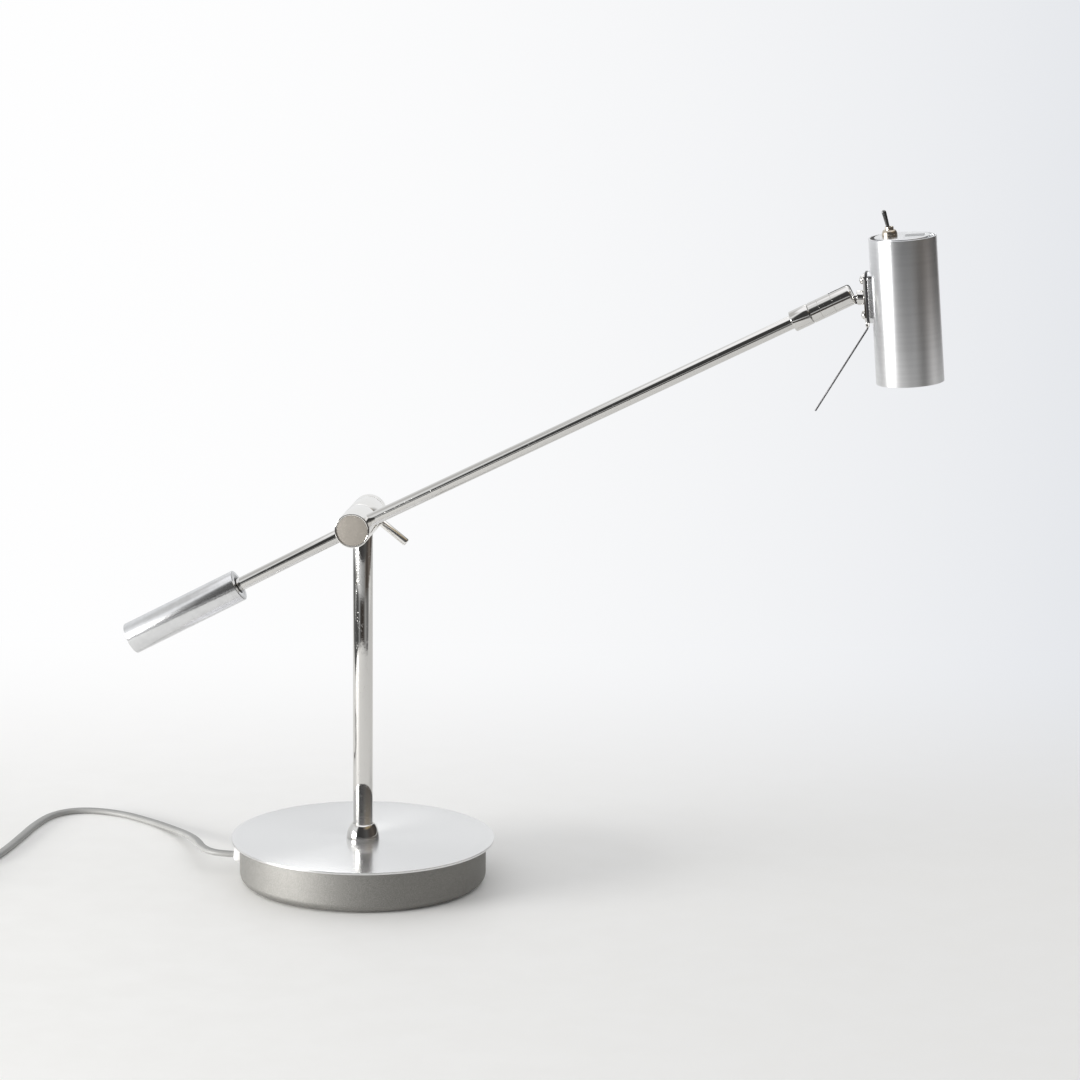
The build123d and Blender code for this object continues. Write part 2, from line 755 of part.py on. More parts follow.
def switch_body():
    high = top_face - top_t
    half_x, half_y = switch_body_x / 2, switch_body_y / 2
    body = block((-switch_x - half_x, -switch_x + half_x), (-half_y, half_y), (high - switch_body_h, high))
    body -= rod("Z", throat_r, high - toggle_tail, high, at=(-switch_x, 0))
    for place in (-1, 0, 1):
        x = -switch_x + place * lug_pitch
        low = high - switch_body_h
        body += block((x - lug_t / 2, x + lug_t / 2), (-lug_w / 2, lug_w / 2), (low - lug_h, low))
    return head_frame * body


def switch_bushing():
    low, high = top_face - top_t, top_face + bushing_h
    sleeve = tube("Z", bushing_r, throat_r, low, high)
    sleeve = chamfer(end_edges(sleeve, Axis.Z, -1).sort_by(SortBy.RADIUS)[-1], bushing_edge)
    mouth = Pos(0, 0, toggle_z) * Cone(throat_r, bushing_r - bushing_lip, high - toggle_z + seat,
                                       align=(Align.CENTER, Align.CENTER, Align.MIN))
    return head_frame * Pos(-switch_x, 0, 0) * (sleeve - mouth)


def switch_nut():
    bore = bushing_r + seat
    side, high = top_face + switch_nut_side, top_face + switch_nut_h
    middle = (switch_nut_r - switch_nut_draw, (side + high) / 2)
    dome = turned(
        outline((bore, top_face), (switch_nut_r, top_face), (switch_nut_r, side)),
        ThreePointArc((switch_nut_r, 0, side), (middle[0], 0, middle[1]), (switch_nut_top_r, 0, high)),
        outline((switch_nut_top_r, high), (bore, high), (bore, top_face)),
    )
    return head_frame * Pos(-switch_x, 0, 0) * dome


def switch_lever():
    foot = (Align.CENTER, Align.CENTER, Align.MIN)
    shaft = Cone(toggle_r, toggle_tip_r, toggle_len - toggle_tip_r, align=foot)
    tip = Pos(0, 0, toggle_len - toggle_tip_r) * Sphere(toggle_tip_r)
    tail = rod("Z", toggle_tail_r, -toggle_tail, 0)
    return toggle_frame * (shaft + tip + Sphere(toggle_ball_r) + tail)


# ---- head: lamp -----------------------------------------------------------------------------
def bowl_curve(shrink):
    """The reflector's curved side from its rim to its neck, moved inwards by shrink."""
    rim = (lamp_r - shrink, 0, lamp_face + lamp_rim)
    middle = (bowl_swell_r - shrink, 0, lamp_face + bowl_depth * bowl_swell - shrink)
    neck = (bowl_neck_r - shrink, 0, lamp_face + bowl_depth - shrink)
    return ThreePointArc(rim, middle, neck)


def lamp_reflector():
    """Glass bowl with its ceramic foot and two pins."""
    high = lamp_face + bowl_depth
    rim_out, rim_in = lamp_r, lamp_r - bowl_wall
    neck_in, floor = bowl_neck_r - bowl_wall, high - bowl_wall
    bowl = turned(
        outline((rim_in, lamp_face), (rim_out, lamp_face), (rim_out, lamp_face + lamp_rim)),
        bowl_curve(0),
        outline((bowl_neck_r, high), (0, high), (0, floor), (neck_in, floor)),
        bowl_curve(bowl_wall),
        outline((rim_in, lamp_face + lamp_rim), (rim_in, lamp_face)),
    )
    foot = block((-lamp_base_x / 2, lamp_base_x / 2), (-lamp_base_y / 2, lamp_base_y / 2), (high, lamp_top))
    lamp = bowl + foot
    for side in (-1, 1):
        lamp += rod("Z", lamp_pin_r, lamp_top, lamp_top + lamp_pin_len, at=(side * lamp_pin_pitch / 2, 0))
    return head_frame * lamp


def lamp_lens():
    return head_frame * rod("Z", lamp_r - bowl_wall - seat, lamp_face, lamp_face + lens_t)


def lamp_capsule():
    high = lamp_face + bowl_depth - bowl_wall
    capsule = rod("Z", capsule_r, high - capsule_len, high)
    return head_frame * fillet(end_edges(capsule, Axis.Z, 0), capsule_end * capsule_r)


def lamp_keeper():
    outer = head_bore_r - seat
    return head_frame * tube("Z", outer, outer - keeper_w, lamp_face - keeper_t, lamp_face)


def lamp_socket():
    body = rod("Z", socket_r, lamp_top, shelf_z)
    for side in (-1, 1):
        place = (side * lamp_pin_pitch / 2, 0)
        body -= rod("Z", lamp_pin_r + seat, lamp_top, lamp_top + lamp_pin_len + seat, at=place)
    return head_frame * (body - rod("Z", socket_screw_r + seat, shelf_z - socket_screw_len, shelf_z))


def socket_bracket():
    """Bent sheet: the upright leaf is held by the bracket's screws, the shelf carries the socket."""
    low, high = screw_places()
    leaf = block((-leaf_x, -leaf_face), (-leaf_w / 2, leaf_w / 2), (low - leaf_over, high + leaf_over))
    shelf = block((-leaf_x, shelf_end), (-leaf_w / 2, leaf_w / 2), (shelf_z, shelf_z + leaf_t))
    return head_frame * (drilled(leaf) + shelf - rod("Z", socket_screw_r + seat, shelf_z, shelf_z + leaf_t))


def socket_screw():
    high = shelf_z + leaf_t
    shank = rod("Z", socket_screw_r, shelf_z - socket_screw_len, high)
    return head_frame * (shank + rod("Z", socket_head_r, high, high + socket_head_t))


# ---- mains cord -----------------------------------------------------------------------------
def cord_path(points, name):
    """Straight runs joined by tangent arcs, each as large as its two runs allow."""
    spots = [Vector(*point) for point in points]
    radii = []
    for before, here, after in zip(spots, spots[1:], spots[2:]):
        turn = math.radians((here - before).get_angle(after - here))
        shorter = min((here - before).length, (after - here).length)
        radii.append(arc_share * shorter / math.tan(turn / 2))
    print(name, "radii", [round(radius, 1) for radius in radii])
    return FilletPolyline(*spots, radius=radii)


def lead_along(path, name):
    lead = sweep((path ^ 0) * Circle(cord_r), path=path)
    print(name, "length", round(path.length, 1), "volume share",
          round(lead.volume / (math.pi * cord_r**2 * path.length), 4))
    return lead


def biarc(start, start_way, end, end_way):
    """Two tangent arcs from start to end, leaving and arriving along the given directions."""
    chord = end - start
    square = 2 * (start_way.dot(end_way) - 1)
    linear = -2 * chord.dot(start_way + end_way)
    reach = (-linear - math.sqrt(linear**2 - 4 * square * chord.dot(chord))) / (2 * square)
    first, last = start + start_way * reach, end - end_way * reach
    joint, joint_way = (first + last) / 2, (last - first).normalized()
    return [TangentArc(start, joint, tangent=start_way), TangentArc(joint, end, tangent=joint_way)]


def coil_edges():
    """A flat spiral wound in, a half turn that climbs a layer, and a spiral out again above it."""
    centre = Vector(*coil_start) - Vector(coil_r, 2 * cord_r, 0)
    radii = [coil_r - step * coil_pitch / 2 for step in range(coil_half_turns + 1)]
    stops = [(radius, 0) for radius in radii] + [(radius, coil_layer) for radius in reversed(radii)]
    way = Vector(0, -1, 0)
    spot = centre + Vector(coil_r, 0, 0)
    edges = [Line(Vector(*coil_start), spot)]
    for step, (radius, lift) in enumerate(stops[1:]):
        side = -1 if step % 2 == 0 else 1
        following = centre + Vector(side * radius, 0, lift)
        edges += biarc(spot, way, following, way * -1)
        spot, way = following, way * -1
    return edges + [Line(spot, spot + way * (2 * cord_r))]


coil_wire = Wire(coil_edges())
coil_end = coil_wire @ 1
tail_heights = [coil_end.Z] + [plug_h / 2] * (len(tail_steps) - 1)
tail_points = [coil_end] + [
    Vector(coil_end.X + x, coil_end.Y + y, z) for (x, y), z in zip(tail_steps, tail_heights)
]
tail_way = tail_points[-1] - tail_points[-2]
plug_frame = Location(tail_points[-1], (0, 0, math.degrees(math.atan2(tail_way.Y, tail_way.X))))


def cord_free():
    face = (grommet_frame * Pos(shell_r + grommet_out, 0, 0)).position
    return lead_along(cord_path([face] + cord_steps + [coil_start], "cord_free"), "cord_free")


def cord_coil():
    spots = [coil_wire @ (step / gap_samples) for step in range(gap_samples + 1)]
    apart = int(3 * (2 * cord_r) / (coil_wire.length / gap_samples))
    least = min((a - b).length for i, a in enumerate(spots) for b in spots[i + apart:])
    print("cord_coil least gap to itself", round(least - 2 * cord_r, 2))
    return lead_along(coil_wire, "cord_coil")


def cord_tail():
    return lead_along(cord_path(tail_points, "cord_tail"), "cord_tail")


def mains_plug():
    """Flat two-pin plug body with its tapered strain relief, along its own X axis."""
    half, back = plug_w / 2, plug_back_w / 2
    low, high = relief_len, relief_len + plug_len
    shoulder = high - plug_straight
    shape = Polyline((low, -back), (shoulder, -half), (high, -half),
                     (high, half), (shoulder, half), (low, back), close=True)
    body = bar("Z", make_face(shape), -plug_h / 2, plug_h / 2)
    body = fillet(body.edges().filter_by(Axis.Z, reverse=True).group_by(Axis.Z)[-1], plug_edge)
    body = fillet(end_edges(body, Axis.Z, 0), plug_edge)
    relief = Plane((0, 0, 0), x_dir=(0, 1, 0), z_dir=(1, 0, 0)) * Cone(
        relief_tip_r, relief_r, relief_len, align=(Align.CENTER, Align.CENTER, Align.MIN))
    return plug_frame * (body + relief)


def plug_prongs():
    low = relief_len + plug_len
    prongs = []
    for side in (-1, 1):
        prong = rod("X", prong_r, low, low + prong_len, at=(side * prong_pitch / 2, 0))
        prongs.append(plug_frame * fillet(end_edges(prong, Axis.X, -1), prong_edge))
    return Compound(prongs)


makers = [
    base_felt, drum_shell, base_disc, ballast_ring, transformer, transformer_clamp, transformer_nut,
    base_nut, base_nipple, stem_clip, stem_collar, cable_grommet,
    stem_tube, stem_bush, stem_plug, stem_lead, stem_head, friction_washers, clamp_ring, clamp_lever,
    arm_hub, hub_cap, pivot_bolt, arm_tube, arm_lead, rear_rod, counterweight, weight_bush,
    arm_sleeve, swivel_stud, swivel_clip, swivel_knuckle, knuckle_pin,
    tilt_tongue, bracket_plate, bracket_gasket, bracket_saddle, bracket_screws, bracket_nuts,
    handle_ferrule, tilt_handle, head_leads, head_tube, head_top,
    switch_body, switch_bushing, switch_nut, switch_lever,
    lamp_reflector, lamp_lens, lamp_capsule, lamp_keeper, lamp_socket, socket_bracket, socket_screw,
    cord_free, cord_coil, cord_tail, mains_plug, plug_prongs,
]

os.makedirs("parts", exist_ok=True)
for maker in makers:
    export_step(maker(), "parts/" + maker.__name__ + ".step")
print(len(makers), "nodes")
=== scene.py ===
"""Counterweight balance desk lamp: its looks, built round the lamp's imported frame, and its studio."""

import json
import math

import bmesh
import bpy
from mathutils import Matrix, Vector


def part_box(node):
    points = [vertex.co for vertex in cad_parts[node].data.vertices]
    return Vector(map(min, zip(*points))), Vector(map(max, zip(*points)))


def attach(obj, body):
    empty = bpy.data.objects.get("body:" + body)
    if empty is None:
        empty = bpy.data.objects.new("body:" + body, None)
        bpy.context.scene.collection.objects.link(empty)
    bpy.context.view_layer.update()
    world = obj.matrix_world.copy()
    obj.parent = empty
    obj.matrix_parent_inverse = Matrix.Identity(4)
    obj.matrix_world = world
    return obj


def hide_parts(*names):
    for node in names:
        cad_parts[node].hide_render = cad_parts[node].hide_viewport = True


bl_info = {
    "name": "Balance Desk Lamp",
    "version": (1, 0, 0),
    "blender": (4, 5, 0),
    "location": "View3D > Sidebar > Lamp",
    "description": "Dresses a counterweight balance desk lamp and sets up its studio",
    "category": "Object",
}

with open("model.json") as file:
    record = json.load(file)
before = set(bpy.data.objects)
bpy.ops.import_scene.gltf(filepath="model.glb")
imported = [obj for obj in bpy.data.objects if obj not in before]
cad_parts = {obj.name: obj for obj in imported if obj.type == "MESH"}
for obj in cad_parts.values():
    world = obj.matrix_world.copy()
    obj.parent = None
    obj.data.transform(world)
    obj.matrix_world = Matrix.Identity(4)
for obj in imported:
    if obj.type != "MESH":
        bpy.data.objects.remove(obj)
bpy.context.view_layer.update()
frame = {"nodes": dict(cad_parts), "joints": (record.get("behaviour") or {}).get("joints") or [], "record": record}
joints = {joint["name"]: joint for joint in frame["joints"]}
body_of = {node: body for body, nodes in frame["record"]["behaviour"]["bodies"].items() for node in nodes}

MM = 0.001
SHARP = math.radians(32)    # edges sharper than this are shaded as edges
FIT = 0.05 * MM             # clearance between pieces that fit into or lie on each other
LAP = 0.5 * MM              # how far forms of one piece run into each other
PAST = 1.0 * MM             # how far a cutter reaches past what it cuts
PICTURE = 1080              # pixels across the picture
SENSOR = 36.0               # mm across the camera's sensor


# ---- sizes and colours that a user would change --------------------------------------------------
def length(name, millimetres, description):
    """A length written in millimetres and kept in metres."""
    return bpy.props.FloatProperty(name=name, default=millimetres * MM, unit="LENGTH", min=0.0,
                                   precision=5, description=description)


def angle(name, degrees, description):
    """An angle written in degrees and kept in radians."""
    return bpy.props.FloatProperty(name=name, default=math.radians(degrees), unit="ROTATION",
                                   description=description)


def colour(name, red, green, blue, description):
    """A colour, as its shares of red, green and blue."""
    return bpy.props.FloatVectorProperty(name=name, default=(red, green, blue), size=3, min=0.0, max=1.0,
                                         subtype="COLOR", description=description)


def number(name, value, description):
    """A plain number."""
    return bpy.props.FloatProperty(name=name, default=value, description=description)


class BaseSizes(bpy.types.PropertyGroup):
    drum_r: length("Drum radius", 75.0, "Outside radius of the painted drum")
    drum_low: length("Drum underside", 0.6, "Height of the drum's underside, above the felt")
    drum_top: length("Drum rim", 26.0, "Height of the drum's rim, where the disc lies")
    drum_wall: length("Drum wall", 1.2, "Sheet thickness of the drum")
    drum_corner: length("Drum corner", 5.5, "Radius of the drum's rounded bottom edge")
    recess_r: length("Recess radius", 11.5, "Radius of the recess under the drum")
    recess_depth: length("Recess depth", 7.0, "Depth of the recess under the drum")
    disc_r: length("Disc radius", 80.0, "Outside radius of the turned disc")
    disc_t: length("Disc thickness", 1.5, "Thickness of the turned disc")
    collar_r: length("Collar radius", 9.9, "Radius of the stem collar at the disc")
    collar_top_r: length("Collar top radius", 6.9, "Radius of the stem collar at its top")
    collar_h: length("Collar height", 8.6, "Height of the stem collar above the disc")
    collar_lip: length("Collar lip", 0.9, "Straight lip at the collar's foot")
    stem_r: length("Stem radius", 6.0, "Outside radius of the stem tube")
    stem_wall: length("Stem wall", 1.2, "Wall of the stem tube")


class PivotSizes(bpy.types.PropertyGroup):
    barrel_r: length("Barrel radius", 10.5, "Outside radius of the pivot barrel")
    edge: length("Barrel edge", 0.5, "Bevel on the barrel's edges")
    rim: length("Hub rim", 1.2, "Width of the bright rim round the cap")
    cap_free: length("Cap clearance", 0.06, "Gap round the cap")
    washer_r: length("Washer radius", 9.9, "Radius of the friction washers")
    washer_bore_r: length("Washer bore", 3.05, "Radius of the washers' bore")
    knurl_depth: length("Serration depth", 0.35, "Depth of the serrations on the clamp ring")
    knurl_teeth: bpy.props.IntProperty(name="Serrations", default=60, min=12,
                                       description="Number of serrations round the clamp ring")
    knurl_edge: length("Serration edge", 0.45, "Bevel at the ends of the serrations")
    ring_border: length("Ring border", 0.8, "Width of the flat border on the clamp ring's faces")
    lever_r: length("Clamp lever radius", 2.4, "Radius of the clamp lever")
    lever_root: length("Clamp lever root", 5.0, "Distance from the pivot's axis to the lever's root")
    lever_reach: length("Clamp lever reach", 29.6, "Distance from the pivot's axis to the lever's tip")
    lever_turn: angle("Clamp lever turn", 38.4, "How far the clamp lever points below +X")


class ArmSizes(bpy.types.PropertyGroup):
    tube_r: length("Arm radius", 4.0, "Outside radius of the arm tube and of the rear rod")
    root: length("Arm root", 4.6, "Distance from the pivot's axis to the inner ends of arm and rod")
    rod_end: length("Rod end", 112.0, "Distance from the pivot's axis to the rod's hidden end")
    weight_r: length("Weight radius", 9.65, "Radius of the counterweight")
    weight_start: length("Weight start", 80.6, "Distance from the pivot's axis to the weight's inner face")
    weight_len: length("Weight length", 75.0, "Length of the counterweight")
    weight_bore_r: length("Weight bore", 5.2, "Radius of the weight's bore")
    bore_depth: length("Weight bore depth", 66.0, "Depth of the weight's bore")
    bush_sink: length("Bush depth", 2.5, "How deep the bush sits in the weight's bore")
    bush_len: length("Bush length", 14.0, "Length of the weight's bush")
    sleeve_r: length("Sleeve radius", 6.2, "Radius of the sleeve and of the knuckle")
    sleeve_start: length("Sleeve start", 290.0, "Distance from the pivot's axis to the sleeve")
    arm_in: length("Arm in sleeve", 6.4, "How far the arm reaches into the sleeve")
    seam: length("Swivel seam", 301.8, "Distance from the pivot's axis to the seam behind the knuckle")
    seam_gap: length("Swivel gap", 0.3, "Gap between the sleeve and the knuckle")
    seam_edge: length("Swivel edge", 0.4, "Bevel on both sides of the seam")
    knuckle_end: length("Knuckle end", 328.8, "Distance from the pivot's axis to the knuckle's nose")
    knuckle_round: length("Knuckle rounding", 1.8, "Rounding of the knuckle's nose")
    tilt_pin: length("Tilt pin", 322.2, "Distance from the pivot's axis to the tilt pin")
    pin_r: length("Tilt pin radius", 1.5, "Radius of the tilt pin")
    pin_sink: length("Tilt pin sink", 0.12, "How deep the pin's ends lie in the knuckle's sides")
    slot_w: length("Knuckle slot", 3.4, "Width of the knuckle's slot")
    slot_back: length("Knuckle slot depth", 6.4, "Distance from the tilt pin to the slot's bottom")
    first_line: length("First turned line", 6.1, "Distance from the seam to the first fine line")
    second_line: length("Second turned line", 14.4, "Distance from the seam to the second fine line")
    line_w: length("Turned line width", 0.35, "Width of the knuckle's fine turned lines")
    line_depth: length("Turned line depth", 0.25, "Depth of the knuckle's fine turned lines")


class HeadSizes(bpy.types.PropertyGroup):
    lean: angle("Head lean", 4.53, "How far the head's top leans back")
    radius: length("Head radius", 19.8, "Outside radius of the head tube")
    wall: length("Head wall", 1.1, "Wall of the head tube")
    height: length("Head height", 85.3, "Height of the head tube")
    pin_to_axis: length("Pin to axis", 36.5, "Distance from the tilt pin to the head's axis")
    pin_above: length("Pin above middle", 8.3, "Height of the tilt pin above the head's middle")
    top_r: length("Top radius", 16.3, "Radius of the top's raised middle")
    top_rise: length("Top rise", 0.5, "How far the top's face stands above the tube's rim")
    top_step: length("Top step", 2.4, "Height of the top's face above its shoulder")
    top_t: length("Top thickness", 1.5, "Thickness of the top's raised middle")
    top_round: length("Top rounding", 0.6, "Rounding of the top's edge")
    top_wall: length("Top wall", 1.0, "Wall of the top's step and skirt")
    top_skirt: length("Top skirt", 4.0, "Height of the top's skirt inside the tube")
    vent_len: length("Vent length", 12.0, "Length of a vent slot")
    vent_w: length("Vent width", 1.6, "Width of a vent slot")
    vent_pitch: length("Vent pitch", 3.4, "Distance between the vent slots")
    vent_x: length("Vent place", 7.5, "Distance from the head's axis to the vents' middle")
    plate_w: length("Bracket width", 12.0, "Width of the bracket plates")
    plate_h: length("Bracket height", 28.2, "Height of the bracket plates")
    plate_corner: length("Bracket corner", 3.0, "Corner radius of the bracket plates")
    plate_out: length("Bracket face", 23.8, "Distance from the head's axis to the bracket's outer face")
    plate_t: length("Bracket thickness", 1.2, "Thickness of the bracket plate")
    gasket_t: length("Gasket thickness", 1.4, "Thickness of the dark gasket")
    gasket_over: length("Gasket overhang", 0.8, "How far gasket and saddle stand out round the plate")
    saddle_sink: length("Saddle sink", 1.22, "How far the saddle's flat back lies inside the tube's radius")
    screw_spacing: length("Screw spacing", 20.5, "Distance between the bracket's two screws")
    screw_r: length("Screw head radius", 2.75, "Radius of a dome screw's head")
    screw_h: length("Screw head height", 2.5, "Height of a dome screw's head")
    screw_side: length("Screw head side", 0.6, "Straight side of a dome screw's head")
    boss_r: length("Boss radius", 4.35, "Radius of the boss on the bracket")
    boss_t: length("Boss length", 4.3, "Length of the boss on the bracket")
    tongue: length("Tongue thickness", 3.0, "Width and height of the tongue")
    eye_r: length("Tongue eye", 2.9, "Radius of the tongue's eye")
    lead_drop: length("Wire drop", 3.0, "How far the two wires run below the tilt pin")
    lead_start: length("Wire start", 3.0, "Distance from the tilt pin to where the two wires start")
    lead_end: length("Wire end", 18.0, "Distance from the head's axis to where the two wires end")
    lead_r: length("Wire radius", 0.6, "Radius of one wire")
    lead_pair: length("Wire spacing", 1.3, "Distance between the two wires")
    wire_r: length("Handle radius", 0.5, "Radius of the tilt handle's steel wire")
    wire_x: length("Handle root", 22.9, "Distance from the head's axis to the handle's root")
    wire_drop: length("Handle bend drop", 3.4, "Distance from the bracket's foot to the handle's bend")
    wire_len: length("Handle length", 57.7, "Length of the handle beyond its bend")
    wire_lean: angle("Handle lean", 35.2, "Angle between the handle and the head's axis")
    wire_bend: length("Handle bend", 2.5, "Radius of the handle's bend")
    ferrule_r: length("Ferrule radius", 1.1, "Radius of the handle's ferrule")
    ferrule_len: length("Ferrule length", 2.6, "Length of the handle's ferrule")


class SwitchSizes(bpy.types.PropertyGroup):
    across: length("Switch place", 7.3, "Distance from the head's axis to the switch's axis")
    nut_r: length("Switch nut radius", 4.5, "Radius of the domed switch nut")
    nut_side: length("Switch nut side", 1.0, "Straight part of the domed switch nut")
    nut_h: length("Switch nut height", 3.8, "Height of the domed switch nut")
    nut_top_r: length("Switch nut top", 3.0, "Radius of the switch nut at its top")
    bush_r: length("Switch bush radius", 2.5, "Radius of the switch's bush")
    bush_h: length("Switch bush height", 5.6, "Height of the switch's bush above the top plate")
    throat_r: length("Switch throat", 1.8, "Radius of the bush's throat")
    bush_lip: length("Switch bush lip", 0.4, "Width of the bush's lip")
    lean: angle("Toggle lean", 12.0, "How far the toggle leans towards the arm")
    toggle_up: length("Toggle pivot", 2.0, "Height of the toggle's pivot above the top plate")
    toggle_len: length("Toggle length", 13.6, "Length of the toggle above its pivot")
    toggle_r: length("Toggle radius", 0.95, "Radius of the toggle at its pivot")
    toggle_tip_r: length("Toggle tip", 1.35, "Radius of the toggle's tip")
    ball_r: length("Toggle ball", 1.5, "Radius of the toggle's ball")
    foot_r: length("Toggle foot", 0.7, "Radius of the toggle's hidden foot")
    foot_len: length("Toggle foot length", 2.6, "Length of the toggle below its pivot")


class LightSizes(bpy.types.PropertyGroup):
    radius: length("Lamp radius", 17.5, "Radius of the reflector lamp")
    sink: length("Lamp depth", 7.0, "Height of the lamp's rim above the head's mouth")
    rim: length("Lamp rim", 1.6, "Height of the lamp's straight rim")
    depth: length("Bowl depth", 19.0, "Depth of the reflector's bowl")
    wall: length("Bowl wall", 1.2, "Wall of the reflector's bowl")
    neck_r: length("Bowl neck", 6.5, "Radius of the bowl's neck")
    lens_t: length("Lens thickness", 1.2, "Thickness of the front glass")
    keeper_t: length("Keeper thickness", 0.8, "Thickness of the ring that holds the lamp")
    keeper_w: length("Keeper width", 2.2, "Width of the ring that holds the lamp")
    capsule_r: length("Capsule radius", 3.6, "Radius of the glass capsule in the reflector")
    capsule_gap: length("Capsule gap", 0.3, "Gap between the capsule and the bowl's neck")
    capsule_len: length("Capsule length", 11.0, "Length of the glass capsule in the reflector")
    foot_w: length("Foot width", 13.0, "Width of the lamp's ceramic foot")
    foot_t: length("Foot thickness", 9.0, "Thickness of the lamp's ceramic foot")
    foot_h: length("Foot height", 9.0, "Height of the lamp's ceramic foot")


class CordSizes(bpy.types.PropertyGroup):
    width: length("Cord width", 5.6, "Width of the flat twin cord")
    thickness: length("Cord thickness", 3.2, "Thickness of the flat twin cord")
    real_length: length("Cord length", 1780.0, "Real length of the mains cord")
    coil_r: length("Coil radius", 42.0, "Radius of the coil's outermost turn")
    coil_pitch: length("Coil pitch", 6.0, "Distance between the coil's turns")
    coil_layer: length("Coil layer", 3.6, "Distance between the coil's two layers")
    coil_shift: length("Coil shift", 4.4, "How far the coil's middle lies in front of its first point")
    grommet_r: length("Grommet radius", 4.4, "Radius of the white cable bush")
    grommet_turn: angle("Grommet turn", 181.0, "Direction of the cable bush from +X")
    grommet_z: length("Grommet height", 12.6, "Height of the cable bush")
    grommet_out: length("Grommet length", 4.5, "How far the cable bush stands out of the drum")
    grommet_in: length("Grommet depth", 2.0, "How far the cable bush reaches into the drum")
    plug_w: length("Plug width", 35.0, "Width of the plug")
    plug_h: length("Plug height", 13.7, "Height of the plug")
    plug_len: length("Plug length", 33.0, "Length of the plug's body")
    plug_straight: length("Plug straight part", 17.0, "Straight part of the plug's sides")
    plug_back: length("Plug back", 12.0, "Width of the plug at its relief")
    plug_corner: length("Plug corner", 2.5, "Radius of the plug's upright corners")
    plug_edge: length("Plug edge", 1.6, "Rounding of the plug's other edges")
    relief_len: length("Relief length", 22.0, "Length of the plug's strain relief")
    relief_r: length("Relief radius", 4.6, "Radius of the strain relief at the plug")
    relief_tip_r: length("Relief tip", 3.2, "Radius of the strain relief at the cord")
    rib_depth: length("Rib depth", 0.5, "Depth of the strain relief's grooves")
    rib_slope: length("Rib slope", 0.3, "Length of the slopes at the grooves' sides")
    prong_r: length("Prong radius", 2.0, "Radius of a plug prong")
    prong_len: length("Prong length", 19.0, "Length of a plug prong")
    prong_pitch: length("Prong pitch", 18.6, "Distance between the plug prongs")


class Finishes(bpy.types.PropertyGroup):
    chrome: colour("Chrome", 0.72, 0.71, 0.69, "Polished plate of stem, arm and pivot")
    aluminium: colour("Aluminium", 0.785, 0.79, 0.80, "Satin aluminium of head and counterweight")
    disc: colour("Turned disc", 0.80, 0.80, 0.80, "Turned aluminium of the base disc")
    drum: colour("Drum paint", 0.31, 0.305, 0.29, "Metallic grey paint of the drum")
    cap: colour("Hub cap", 0.28, 0.257, 0.227, "Satin warm grey of the hub cap")
    nickel: colour("Nickel", 0.60, 0.54, 0.46, "Warm nickel of the switch nut")
    zinc: colour("Zinc", 0.55, 0.56, 0.57, "Bright zinc of nuts, bolt, clips and clamps")
    gunmetal: colour("Toggle", 0.20, 0.20, 0.20, "Dark plate of the toggle")
    cord: colour("Cord", 0.33, 0.33, 0.32, "Light grey cover of the mains cord")
    white: colour("Bush", 0.80, 0.80, 0.79, "White plastic of the cable bush")
    gasket: colour("Gasket", 0.02, 0.02, 0.022, "Dark gasket behind the bracket")
    fibre: colour("Washer", 0.50, 0.22, 0.09, "Fibre of the friction washers")
    wire: colour("Wire", 0.03, 0.008, 0.008, "Dark covering of the thin wires")


class Studio(bpy.types.PropertyGroup):
    lens: bpy.props.FloatProperty(name="Lens", default=149.181, min=1.0,
                                  description="Focal length in mm on a 36 mm sensor")
    distance: length("Camera distance", 2735.06, "Distance from the camera to the plane through the origin")
    azimuth: angle("Camera azimuth", 8.01, "How far the camera stands towards +X of the front")
    elevation: angle("Camera elevation", 12.11, "How far the camera looks down")
    roll: angle("Camera roll", 0.48, "Turn of the picture about the line of sight")
    origin_px: bpy.props.FloatVectorProperty(name="Origin in the picture", size=2,
                                             default=(362.97, 879.34),
                                             description="Pixel of the lamp's origin, of 1080 across")
    window: number("Window", 120.0, "Power of the window light in watts")
    window_w: length("Window width", 1700.0, "Width of the window light")
    window_h: length("Window height", 740.0, "Height of the window light")
    window_out: length("Window distance", 3000.0, "How far from the stem the window light stands")
    window_up: length("Window lift", 450.0, "Height of the window light's middle above the table")
    window_turn: angle("Window direction", 66.0, "How far the window light stands to the camera's left")
    window_tint: colour("Window tint", 1.0, 0.99, 0.975, "Colour of the window light")
    sky: number("Fill", 0.73, "Strength of the surrounding fill light")
    sky_tint: colour("Fill tint", 0.985, 0.99, 1.0, "Colour of the surrounding fill light")
    # painted shade: the table's colour greys from the left to the right, as the window light falls off
    table_left: colour("Table's left", 0.93, 0.925, 0.905, "Colour of the white table on the left")
    table_painted_shade_right: colour("Table's right", 0.885, 0.88, 0.865, "Colour of the white table on the right")
    table_cloud: colour("Table's clouds", 0.86, 0.85, 0.825, "Colour of the faint clouds in the table")
    table_fade: length("Table's fade", 620.0, "How far behind the stem the table is all background")
    table_end: length("Table's end", 1500.0, "How far from the stem the white table ends, in reflections")
    # painted light and shade: the background is lit white on the left and greys to the right
    back_left: colour("Background's left", 0.991, 0.991, 0.994, "Colour of the background on the left")
    back_painted_shade_right: colour("Background's right", 0.791, 0.807, 0.838, "Colour of the background on the right")
